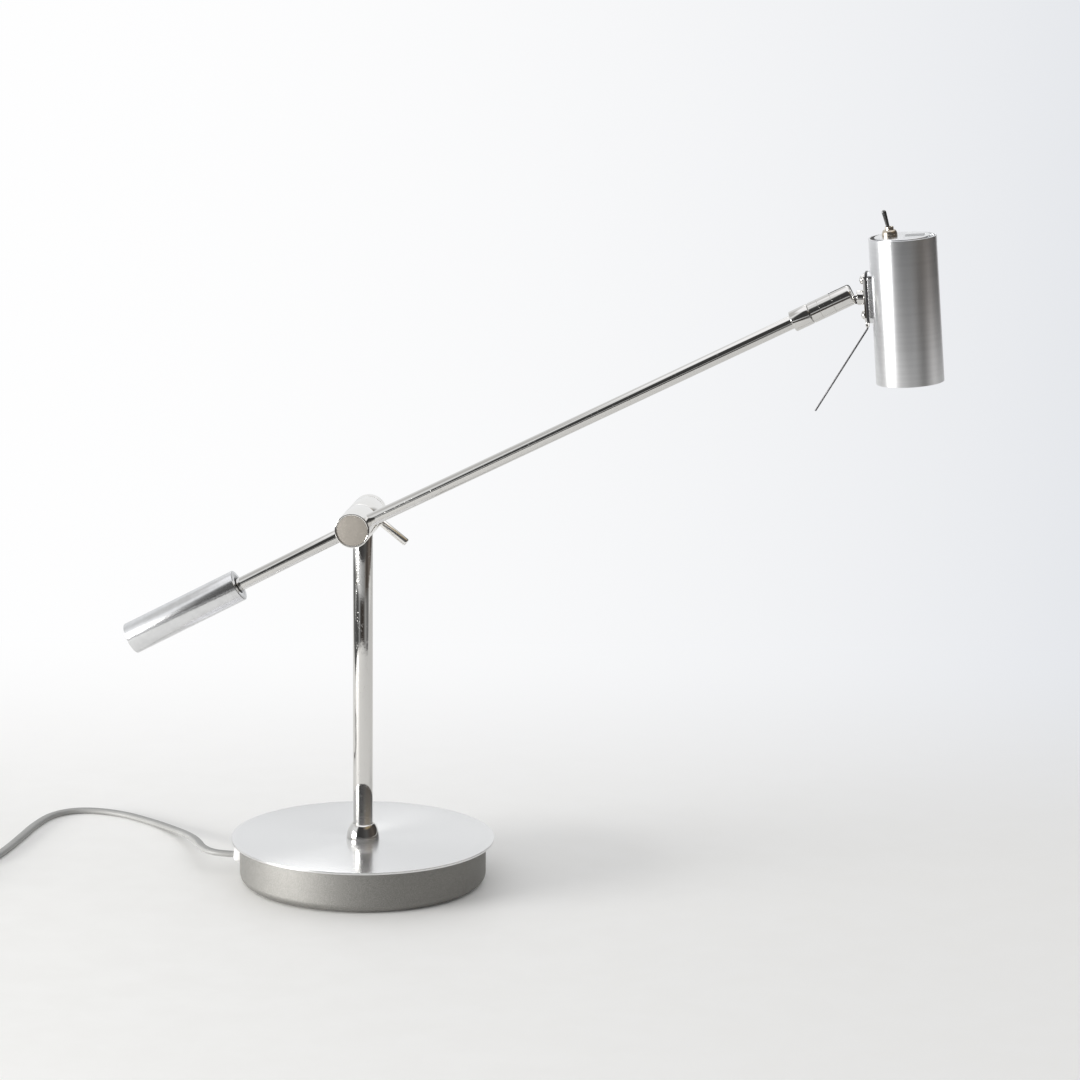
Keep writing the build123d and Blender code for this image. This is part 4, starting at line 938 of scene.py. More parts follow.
class LAMP_OT_pivot(bpy.types.Operator):
    """Builds the pivot barrel: hub, cap, washers, stem head, serrated ring and clamp lever"""

    bl_idname = "lamp.pivot"
    bl_label = "Pivot"

    def execute(self, context):
        sizes = context.scene.lamp_pivot
        colours = context.scene.lamp_finishes
        place = pivot_frame()
        # painted light: a brighter copy of the chrome, so the pivot's barrel shows near-white
        plated = chrome("pivot_chrome_painted_light", shade(colours.chrome, 1.25), wear=0.5)
        spans = {node: (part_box(node)[0].y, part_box(node)[1].y)
                 for node in ("arm_hub", "hub_cap", "stem_head", "clamp_ring")}
        start, end = spans["arm_hub"]
        rim = sizes.barrel_r - sizes.rim
        cap_start, cap_end = spans["hub_cap"]
        hub = lathe([(0.0, cap_end), (rim, cap_end), (rim, start), (sizes.barrel_r, start),
                     (sizes.barrel_r, end), (0.0, end)], bevel=0.28 * MM, segments=4)
        piece("hub_shell", hub, place, ["arm_hub"], plated)
        cap = rod(rim - sizes.cap_free, cap_start, cap_end, bevel=0.3 * MM, steps=144)
        finish = satin("cap_satin", colours.cap, rough=0.5, metallic=0.1)
        piece("satin_cap", cap, place, ["hub_cap"], finish)
        start, end = spans["stem_head"]
        barrel = rod(sizes.barrel_r, start, end, bevel=sizes.edge, steps=144)
        piece("head_barrel", barrel, place, ["stem_head"], plated)
        grooves = (spans["arm_hub"][1], start), (end, spans["clamp_ring"][0])
        radii = sizes.washer_r, sizes.washer_bore_r
        washers = [pipe(*radii, low + FIT, high - FIT, bevel=0.1 * MM, steps=144) for low, high in grooves]
        fibre = moulded("fibre", colours.fibre, rough=0.5)
        piece("fibre_washers", joined(*washers), place, ["friction_washers"], fibre)
        ring = self.ring(sizes, *spans["clamp_ring"])
        piece("serrated_ring", ring, place, ["clamp_ring"], plated, sharp=math.radians(20))
        turn = Matrix.Rotation(sizes.lever_turn, 4, "Y")
        middle = Matrix.Translation(joints["clamp_turn"]["pos_m"])
        round_end = sizes.lever_r * 0.45
        lever = rod(sizes.lever_r, sizes.lever_root, sizes.lever_reach, bevel=round_end, steps=64)
        piece("clamp_bar", lever, middle @ turn @ ACROSS, ["clamp_lever"], plated)
        dress("pivot_bolt", satin("bolt_zinc", colours.zinc, rough=0.3))
        return {"FINISHED"}

    def ring(self, sizes, start, end):
        """A disc whose rim points go in and out, extruded, with its ends softened."""
        bm = bmesh.new()
        bmesh.ops.create_circle(bm, cap_ends=True, segments=2 * sizes.knurl_teeth, radius=sizes.barrel_r)
        share = 1 - sizes.knurl_depth / sizes.barrel_r
        bmesh.ops.scale(bm, vec=(share, share, 1.0), verts=bm.verts[:][::2])
        bmesh.ops.inset_region(bm, faces=bm.faces[:], thickness=sizes.ring_border, depth=0.0)
        bmesh.ops.translate(bm, vec=(0, 0, start), verts=bm.verts)
        pushed(bm, bm.faces[:], (0, 0, end - start))
        bmesh.ops.recalc_face_normals(bm, faces=bm.faces)
        rims = [edge for edge in bm.edges
                if edge.is_manifold and is_level(edge) and edge.calc_face_angle() > math.radians(60)]
        bevel_edges(bm, rims, sizes.knurl_edge, 3)
        return bm


class LAMP_OT_arm(bpy.types.Operator):
    """Builds the arm, the rear rod, the counterweight, the sleeve and the swivel knuckle"""

    bl_idname = "lamp.arm"
    bl_label = "Arm"

    def execute(self, context):
        sizes = context.scene.lamp_arm
        colours = context.scene.lamp_finishes
        plated = chrome("arm_chrome", colours.chrome)
        forward, back = arm_frame(), rod_frame()
        arm = rod(sizes.tube_r, sizes.root, sizes.sleeve_start + sizes.arm_in, bevel=0.1 * MM)
        piece("arm_skin", arm, forward, ["arm_tube"], plated)
        rear = rod(sizes.tube_r, sizes.root, sizes.rod_end, bevel=0.3 * MM)
        piece("rod_skin", rear, back, ["rear_rod"], plated)
        small = chrome("swivel_chrome", colours.chrome, wear=0.8)
        sleeve = pipe(sizes.sleeve_r, sizes.tube_r - LAP, sizes.sleeve_start, sizes.seam - sizes.seam_gap,
                      bevel=sizes.seam_edge, steps=128)
        piece("sleeve_skin", sleeve, forward, ["arm_sleeve"], small)
        self.weight(sizes, colours, back)
        self.knuckle(sizes, forward, small)
        zinc = satin("swivel_zinc", colours.zinc, rough=0.3)
        for node in ("swivel_stud", "swivel_clip"):
            dress(node, zinc)
        dress("arm_lead", moulded("arm_wire", colours.wire, rough=0.35))
        return {"FINISHED"}

    def weight(self, sizes, colours, place):
        """A bored cylinder, and the bush that grips the rod in it."""
        start, end = sizes.weight_start, sizes.weight_start + sizes.weight_len
        floor = start + sizes.bore_depth
        outline = [(0.0, floor), (sizes.weight_bore_r, floor), (sizes.weight_bore_r, start),
                   (sizes.weight_r, start), (sizes.weight_r, end), (0.0, end)]
        finish = satin("weight_satin", colours.aluminium, rough=0.20)
        weight = lathe(outline, bevel=0.3 * MM, steps=160)
        piece("weight_skin", weight, place, ["counterweight"], finish)
        low = start + sizes.bush_sink
        high = low + sizes.bush_len
        bush = pipe(sizes.weight_bore_r - FIT, sizes.tube_r + FIT, low, high, bevel=0.15 * MM)
        piece("bush_skin", bush, place, ["weight_bush"], moulded("bush_nylon", (0.10, 0.10, 0.10)))

    def knuckle(self, sizes, place, finish):
        """A round-nosed cylinder with two fine lines, slotted for the tongue, and its pin."""
        start, end = sizes.seam, sizes.knuckle_end
        radius, nose, edge = sizes.sleeve_r, sizes.knuckle_round, sizes.seam_edge
        depth, width = sizes.line_depth, sizes.line_w
        outline = [(0.0, start), (radius - edge, start), (radius, start + edge)]
        for line in (sizes.first_line, sizes.second_line):
            low = start + line
            outline += [(radius, low), (radius - depth, low + width * 0.3),
                        (radius - depth, low + width * 0.7), (radius, low + width)]
        outline += arc((radius - nose, end - nose), nose, 0, 90, 10) + [(0.0, end)]
        made = piece("knuckle_skin", lathe(outline, steps=128), place, ["swivel_knuckle"], finish)
        bottom, top = sizes.tilt_pin - sizes.slot_back, end + PAST
        slot = block(6 * radius, sizes.slot_w, top - bottom, (top + bottom) / 2)
        cut(made, moved(slot, place))
        half = radius - sizes.pin_sink
        pin = rod(sizes.pin_r, -half, half, bevel=0.2 * MM, steps=48)
        at_pin = place @ Matrix.Translation((0, 0, sizes.tilt_pin)) @ SIDEWAYS
        piece("pin_skin", pin, at_pin, ["knuckle_pin"], satin("pin_steel", (0.6, 0.59, 0.57), rough=0.22))


# ---- operators: the head -------------------------------------------------------------------------
class LAMP_OT_head(bpy.types.Operator):
    """Builds the head tube, its vented top and what the head holds out of sight"""

    bl_idname = "lamp.head"
    bl_label = "Head"

    def execute(self, context):
        sizes = context.scene.lamp_head
        colours = context.scene.lamp_finishes
        place = head_frame(sizes)
        finish = turned("head_satin", colours.aluminium, place, rough=0.32, spread=0.7, metallic=0.97)
        half = sizes.height / 2
        shell = pipe(sizes.radius, sizes.radius - sizes.wall, -half, half, bevel=0.22 * MM, steps=256)
        piece("head_skin", shell, place, ["head_tube"], finish)
        self.top(sizes, context.scene.lamp_switch, place, colours)
        dress("switch_body", moulded("switch_case", (0.02, 0.02, 0.022)))
        dress("lamp_socket", moulded("ceramic", (0.70, 0.66, 0.55), rough=0.6))
        zinc = satin("head_zinc", colours.zinc, rough=0.3)
        for node in ("socket_bracket", "socket_screw", "bracket_nuts"):
            dress(node, zinc)
        return {"FINISHED"}

    def top(self, sizes, switch, place, colours):
        """A stepped cap: a skirt in the tube, and a raised middle with three vents and the switch's hole."""
        outer = sizes.radius - sizes.wall - FIT
        inner = outer - sizes.top_wall
        high = sizes.height / 2 + sizes.top_rise
        low, shoulder = high - sizes.top_t, high - sizes.top_step
        under, foot = shoulder - sizes.top_wall, shoulder - sizes.top_skirt
        radius, edge = sizes.top_r, sizes.top_round
        outline = [(0.0, low), (radius - sizes.top_wall, low), (radius - sizes.top_wall, under),
                   (inner, under), (inner, foot), (outer, foot), (outer, shoulder), (radius, shoulder)]
        outline += arc((radius - edge, high - edge), edge, 0, 90, 8) + [(0.0, high)]
        finish = faced("cap_turned", colours.aluminium, place)
        made = piece("head_cap", lathe(outline, steps=192), place, ["head_top"], finish)
        low, high = low - PAST, high + PAST
        tools = []
        for row in (-1, 0, 1):
            slot = plate(sizes.vent_w, sizes.vent_len, sizes.vent_w * 0.499, low, high, bevel=0.0)
            at = Matrix.Translation((sizes.vent_x, row * sizes.vent_pitch, 0))
            tools.append(moved(slot, place @ at @ BACKWARDS))
        hole = rod(switch.bush_r + FIT, low, high, bevel=0.0, steps=48)
        tools.append(moved(hole, place @ Matrix.Translation((-switch.across, 0, 0))))
        cut(made, *tools)


class LAMP_OT_bracket(bpy.types.Operator):
    """Builds the tongue, the bracket stack, its screws, the wires and the tilt handle"""

    bl_idname = "lamp.bracket"
    bl_label = "Bracket and handle"

    def execute(self, context):
        sizes = context.scene.lamp_head
        colours = context.scene.lamp_finishes
        place = head_frame(sizes)
        middle = place @ Matrix.Translation((0, 0, sizes.pin_above))
        plated = chrome("bracket_chrome", colours.chrome, wear=0.6)
        self.stack(sizes, colours, middle, plated)
        self.tongue(sizes, middle, plated)
        self.screws(sizes, middle)
        self.handle(sizes, place)
        start, end = -sizes.pin_to_axis + sizes.lead_start, -sizes.lead_end
        wires = []
        for side in (-1, 1):
            at = Matrix.Translation((0, side * sizes.lead_pair / 2, 0))
            wires.append(moved(rod(sizes.lead_r, start, end, bevel=0.1 * MM, steps=24), at @ ACROSS))
        at_wires = middle @ Matrix.Translation((0, 0, -sizes.lead_drop))
        finish = moulded("head_wire", colours.wire, rough=0.3)
        piece("wire_pair", joined(*wires), at_wires, ["head_leads"], finish)
        return {"FINISHED"}

    def stack(self, sizes, colours, middle, plated):
        """The plate, the dark gasket under it and the saddle against the tube."""
        face, under = -sizes.plate_out, -sizes.plate_out + sizes.plate_t
        saddle, back = under + sizes.gasket_t, -sizes.radius + sizes.saddle_sink
        over = sizes.gasket_over
        top = plate(sizes.plate_w, sizes.plate_h, sizes.plate_corner, face, under, bevel=0.2 * MM)
        piece("plate_skin", top, middle, ["bracket_plate"], plated)
        outline = sizes.plate_w + 2 * over, sizes.plate_h + 2 * over, sizes.plate_corner + over
        gasket = plate(*outline, under, saddle, bevel=0.15 * MM)
        finish = moulded("gasket", colours.gasket, rough=0.4)
        piece("gasket_skin", gasket, middle, ["bracket_gasket"], finish)
        foot = plate(*outline, saddle, back, bevel=0.2 * MM)
        finish = satin("saddle_satin", colours.aluminium, rough=0.25)
        piece("saddle_skin", foot, middle, ["bracket_saddle"], finish)

    def tongue(self, sizes, middle, finish):
        """Eye, bar and boss of the part that the head tilts on."""
        half = sizes.tongue / 2
        boss_start = -sizes.plate_out - sizes.boss_t
        at_pin = Matrix.Translation((-sizes.pin_to_axis, 0, 0))
        eye = moved(rod(sizes.eye_r, -half, half, bevel=0.3 * MM, steps=64), at_pin @ SIDEWAYS)
        bar = plate(sizes.tongue, sizes.tongue, 0.0, -sizes.pin_to_axis, boss_start + LAP, bevel=0.3 * MM)
        boss = moved(rod(sizes.boss_r, boss_start, -sizes.plate_out, bevel=0.45 * MM), ACROSS)
        piece("tongue_skin", joined(eye, bar, boss), middle, ["tilt_tongue"], finish)

    def screws(self, sizes, middle):
        """Two domed heads on the plate."""
        radius, side_h = sizes.screw_r, sizes.screw_side
        outline = [(0.0, 0.0), (radius, 0.0), (radius, side_h)]
        outline += oval((0.0, side_h), radius, sizes.screw_h - side_h, 10, 90, 8)
        heads = []
        for side in (-1, 1):
            at = Matrix.Translation((-sizes.plate_out, 0, side * sizes.screw_spacing / 2))
            heads.append(moved(lathe(outline, steps=64), at @ BACKWARDS))
        finish = chrome("screw_chrome", (0.78, 0.77, 0.75), wear=0.3)
        piece("dome_screws", joined(*heads), middle, ["bracket_screws"], finish)

    def handle(self, sizes, place):
        """A straight wire with one bend, and the ferrule at its root."""
        root = sizes.pin_above - sizes.plate_h / 2 - sizes.gasket_over
        bend = root - sizes.wire_drop
        run = sizes.wire_bend * math.tan(sizes.wire_lean / 2)
        bm = bmesh.new()
        bmesh.ops.create_circle(bm, cap_ends=True, segments=24, radius=sizes.wire_r)
        bmesh.ops.translate(bm, vec=(-sizes.wire_x, 0, root), verts=bm.verts)
        end = self.pull(bm, bm.faces[:], Vector((0, 0, bend + run - root)))
        centre = (-sizes.wire_x - sizes.wire_bend, 0, bend + run)
        spun = bmesh.ops.spin(bm, geom=end + end[0].edges[:] + end[0].verts[:], cent=centre, axis=(0, 1, 0),
                              angle=sizes.wire_lean, steps=8)
        end = [part for part in spun["geom_last"] if isinstance(part, bmesh.types.BMFace)]
        way = Vector((-math.sin(sizes.wire_lean), 0, -math.cos(sizes.wire_lean)))
        end = self.pull(bm, end, way * (sizes.wire_len - run))
        bmesh.ops.recalc_face_normals(bm, faces=bm.faces)
        soften(bm, 0.3 * MM)
        steel = satin("handle_steel", (0.07, 0.07, 0.072), rough=0.35)
        piece("handle_wire", bm, place, ["tilt_handle"], steel)
        low = root - sizes.ferrule_len
        ferrule = pipe(sizes.ferrule_r, sizes.wire_r, low, root, bevel=0.15 * MM, steps=48)
        at_root = place @ Matrix.Translation((-sizes.wire_x, 0, 0))
        finish = chrome("ferrule_chrome", (0.75, 0.74, 0.72), wear=0.3)
        piece("ferrule_skin", ferrule, at_root, ["handle_ferrule"], finish)

    def pull(self, bm, faces, way):
        """Extrudes faces along a vector, without leaving the old ones inside."""
        ends = pushed(bm, faces, way)
        bmesh.ops.delete(bm, geom=faces, context="FACES_ONLY")
        return ends


class LAMP_OT_switch(bpy.types.Operator):
    """Builds the toggle switch's bush, domed nut and lever"""

    bl_idname = "lamp.switch"
    bl_label = "Switch"

    def execute(self, context):
        sizes = context.scene.lamp_switch
        head = context.scene.lamp_head
        colours = context.scene.lamp_finishes
        face = head.height / 2 + head.top_rise
        place = head_frame(head) @ Matrix.Translation((-sizes.across, 0, face))
        bore = sizes.bush_r + FIT
        side, top = sizes.nut_side, sizes.nut_h
        dome = oval((sizes.nut_top_r, side), sizes.nut_r - sizes.nut_top_r, top - side, 0, 90, 10)
        outline = [(bore, 0.0), (sizes.nut_r, 0.0), *dome, (bore, top)]
        nut = lathe(outline, bevel=0.12 * MM, steps=96, ring=True)
        piece("switch_dome", nut, place, ["switch_nut"], satin("warm_nickel", colours.nickel, rough=0.24))
        throat, high = sizes.throat_r, sizes.bush_h
        outline = [(throat, -head.top_t), (sizes.bush_r, -head.top_t), (sizes.bush_r, high),
                   (sizes.bush_r - sizes.bush_lip, high), (throat, sizes.toggle_up)]
        bush = lathe(outline, bevel=0.2 * MM, steps=64, ring=True)
        finish = satin("bush_nickel", colours.nickel, rough=0.26)
        piece("switch_throat", bush, place, ["switch_bushing"], finish)
        stand = Matrix.Translation((0, 0, sizes.toggle_up)) @ Matrix.Rotation(-sizes.lean, 4, "Y")
        finish = satin("toggle_gunmetal", colours.gunmetal, rough=0.2)
        piece("toggle_skin", self.toggle(sizes), place @ stand, ["switch_lever"], finish)
        return {"FINISHED"}

    def toggle(self, sizes):
        """A hidden foot, the ball it swings on, and a stick that widens to a round tip."""
        tip = sizes.toggle_tip_r
        foot_top, stick_start = -1.33 * MM, 1.6 * MM
        outline = [(0.0, -sizes.foot_len), (sizes.foot_r, -sizes.foot_len), (sizes.foot_r, foot_top)]
        outline += arc((0.0, 0.0), sizes.ball_r, -60, 54, 8) + [(sizes.toggle_r, stick_start)]
        outline += arc((0.0, sizes.toggle_len - tip), tip, 0, 90, 8)
        return lathe(outline, steps=48)


class LAMP_OT_light(bpy.types.Operator):
    """Builds the reflector lamp, its front glass, its capsule and the ring that holds it"""

    bl_idname = "lamp.light"
    bl_label = "Reflector lamp"

    def execute(self, context):
        sizes = context.scene.lamp_light
        head = context.scene.lamp_head
        colours = context.scene.lamp_finishes
        face = -head.height / 2 + sizes.sink
        place = head_frame(head) @ Matrix.Translation((0, 0, face))
        mirror = faceted_mirror("dichroic_mirror", (0.80, 0.79, 0.76))
        piece("reflector_bowl", self.bowl(sizes), place, ["lamp_reflector"], mirror)
        lens = rod(sizes.radius - sizes.wall - FIT, 0.0, sizes.lens_t, bevel=0.25 * MM, steps=128)
        piece("front_glass", lens, place, ["lamp_lens"], clear_glass("front_glass", (0.95, 0.97, 0.97)))
        glass = clear_glass("capsule_glass", (0.95, 0.95, 0.93))
        piece("glass_capsule", self.capsule(sizes), place, ["lamp_capsule"], glass)
        outer = head.radius - head.wall - FIT
        keeper = pipe(outer, outer - sizes.keeper_w, -sizes.keeper_t, 0.0, bevel=0.15 * MM, steps=160)
        piece("keeper_ring", keeper, place, ["lamp_keeper"], satin("keeper_zinc", colours.zinc, rough=0.28))
        return {"FINISHED"}

    def capsule(self, sizes):
        """A small glass bulb that hangs from the bowl's neck, with a round end."""
        top = sizes.depth - sizes.wall
        high, low = top - sizes.capsule_gap, top - sizes.capsule_len
        nose = sizes.capsule_r * 0.9
        outline = [(0.0, low)] + arc((sizes.capsule_r - nose, low + nose), nose, -90, 0, 10)
        return lathe(outline + [(sizes.capsule_r, high), (0.0, high)], steps=64)

    def bowl(self, sizes):
        """A thin glass bowl with a straight rim, and the ceramic foot that its pins come out of."""
        high, wall, rim = sizes.depth, sizes.wall, sizes.rim
        curve = oval((sizes.neck_r, rim), sizes.radius - sizes.neck_r, high - rim, 0, 90, 14)
        # the steep sides need less of the wall's thickness in height than the neck does
        inside = [(radius - wall, height - (wall if height > high - 3 * MM else wall * 0.4))
                  for radius, height in reversed(curve)]
        outline = [(sizes.radius, 0.0), *curve, (0.0, high), (0.0, high - wall), *inside,
                   (sizes.radius - wall, 0.0), (sizes.radius, 0.0)]
        foot = block(sizes.foot_w, sizes.foot_t, sizes.foot_h, high + sizes.foot_h / 2)
        soften(foot, 0.6 * MM)
        return joined(lathe(outline, steps=128), foot)


# ---- operators: the cord -------------------------------------------------------------------------
class LAMP_OT_cord(bpy.types.Operator):
    """Lays the flat mains cord from the base to its coil and plug"""

    bl_idname = "lamp.cord"
    bl_label = "Mains cord"

    def execute(self, context):
        sizes = context.scene.lamp_cord
        colours = context.scene.lamp_finishes
        base = context.scene.lamp_base
        turn = Matrix.Rotation(sizes.grommet_turn, 4, "Z")
        exit_point = turn @ Vector((base.drum_r + sizes.grommet_out, 0, sizes.grommet_z))
        steps = [Vector(step) * MM for step in CORD_STEPS]
        coil = self.coil_points(sizes, steps[-1])
        tail = [Vector((coil[-1].x + x * MM, coil[-1].y + y * MM, sizes.plug_h / 2)) for x, y in TAIL_STEPS]
        points = [exit_point] + steps + coil + tail
        cord = self.spline(sizes, points)
        cord.data.materials.append(flexible("cord_cover", colours.cord))
        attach(cord, "base")
        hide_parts("cord_free", "cord_coil", "cord_tail")
        grommet = self.grommet(sizes, base, turn, colours)
        way = tail[-1] - tail[-2]
        end = Matrix.Translation(tail[-1]) @ Matrix.Rotation(math.atan2(way.y, way.x), 4, "Z")
        grey = moulded("plug_grey", (0.50, 0.50, 0.49), rough=0.42)
        plug = piece("plug_skin", self.plug(sizes), end, ["mains_plug"], grey)
        nickel = chrome("prong_nickel", (0.70, 0.68, 0.63), wear=0.3)
        prongs = piece("prong_skins", self.prongs(sizes), end, ["plug_prongs"], nickel)
        return {"FINISHED"}

    def coil_points(self, sizes, start):
        """Turns wound in on the desk, half a turn that climbs, and turns wound out again on top."""
        centre = Vector((start.x - sizes.coil_r, start.y - sizes.coil_shift, start.z))
        half_turns = 2 * COIL_TURNS_IN
        inner = sizes.coil_r - half_turns * sizes.coil_pitch / 2
        steps = (2 * half_turns + 1) * COIL_STEPS // 2
        points = []
        for step in range(steps + 1):
            half = 2 * step / COIL_STEPS
            climb = min(max(half - half_turns, 0.0), 1.0)
            away = max(half_turns - half, half - half_turns - 1, 0.0)
            radius = inner + away * sizes.coil_pitch / 2
            turn = -math.pi * half
            points.append(centre + Vector((radius * math.cos(turn), radius * math.sin(turn),
                                           climb * sizes.coil_layer)))
        return points

    def spline(self, sizes, points):
        """One smooth line through the points' hull, with the section of a flat twin cord."""
        curve = bpy.data.curves.new("mains_cord", "CURVE")
        curve.dimensions = "3D"
        curve.twist_mode = "Z_UP"
        curve.bevel_mode = "OBJECT"
        curve.bevel_object = self.section(sizes)
        curve.use_fill_caps = True
        curve.resolution_u = 6
        line = curve.splines.new("NURBS")
        line.points.add(len(points) - 1)
        for point, place in zip(line.points, points):
            point.co = (*place, 1.0)
        line.order_u = 3
        line.use_endpoint_u = True
        cord = bpy.data.objects.new("mains_cord", curve)
        bpy.context.scene.collection.objects.link(cord)
        return cord

    def section(self, sizes):
        """The outline of a flat twin cord: two round cores with a shallow valley between them."""
        core = sizes.thickness / 2
        shift = sizes.width / 2 - core
        around = []
        for side in (1, -1):
            around += arc((side * shift, 0.0), side * core, -78, 78, 12) + [(0.0, side * core * 0.86)]
        flat = bpy.data.curves.new("cord_section", "CURVE")
        outline = flat.splines.new("POLY")
        outline.points.add(len(around) - 1)
        for point, (across, up) in zip(outline.points, around):
            point.co = (across, up, 0.0, 1.0)
        outline.use_cyclic_u = True
        return bpy.data.objects.new("cord_section", flat)

    def grommet(self, sizes, base, turn, colours):
        """A white bush that swells out of the drum's side."""
        start, end = base.drum_r - sizes.grommet_in, base.drum_r + sizes.grommet_out
        radius = sizes.grommet_r
        # a foot that widens, a straight flank, a rounded rim and a sunk face
        outline = [(0.0, start), (radius * 0.78, start), (radius, base.drum_r - 0.4 * MM),
                   (radius, end - 1.2 * MM), (radius * 0.84, end), (radius * 0.66, end),
                   (radius * 0.60, end - 1.0 * MM), (0.0, end - 1.0 * MM)]
        place = turn @ Matrix.Translation((0, 0, sizes.grommet_z)) @ ACROSS
        bush = lathe(outline, bevel=0.3 * MM, steps=96)
        plastic = moulded("white_bush", colours.white, rough=0.35)
        return piece("cord_bush", bush, place, ["cable_grommet"], plastic)

    def prongs(self, sizes):
        """Two round prongs at the plug's end."""
        start = sizes.relief_len + sizes.plug_len
        made = []
        for side in (-1, 1):
            prong = rod(sizes.prong_r, start, start + sizes.prong_len, bevel=0.8 * MM, steps=48)
            made.append(moved(prong, Matrix.Translation((0, side * sizes.prong_pitch / 2, 0)) @ ACROSS))
        return joined(*made)

    def plug(self, sizes):
        """The flat plug's body with its finger grips, and the ribbed strain relief."""
        back, half = sizes.plug_back / 2, sizes.plug_w / 2
        low, high = sizes.relief_len, sizes.relief_len + sizes.plug_len
        shoulder = high - sizes.plug_straight
        corners = [(low, -back), (shoulder, -half), (high, -half),
                   (high, half), (shoulder, half), (low, back)]
        bm = bmesh.new()
        face = bm.faces.new([bm.verts.new((x, y, -sizes.plug_h / 2)) for x, y in corners])
        pushed(bm, [face], (0, 0, sizes.plug_h))
        bmesh.ops.recalc_face_normals(bm, faces=bm.faces)
        upright = [edge for edge in bm.edges
                   if not is_level(edge) and edge.verts[0].co.x < high - 0.001 * MM]
        bevel_edges(bm, upright, sizes.plug_corner, 5)
        soften(bm, sizes.plug_edge, 5, math.radians(50))
        return joined(bm, moved(self.relief(sizes), ACROSS))

    def relief(self, sizes):
        """A cone with grooves between its ribs."""
        ribs, end = 6, sizes.relief_len + 1.0 * MM
        depth, slope = sizes.rib_depth, sizes.rib_slope
        outline = [(0.0, 0.0), (sizes.relief_tip_r, 0.0)]
        for rib in range(ribs):
            low = sizes.relief_len * (rib + 0.35) / ribs
            high = sizes.relief_len * (rib + 0.75) / ribs
            radius = sizes.relief_tip_r + (sizes.relief_r - sizes.relief_tip_r) * rib / (ribs - 1)
            outline += [(radius, low), (radius - depth, low + slope), (radius - depth, high),
                        (radius, high + slope)]
        return lathe(outline + [(sizes.relief_r, end), (0.0, end)], bevel=0.12 * MM, steps=64)


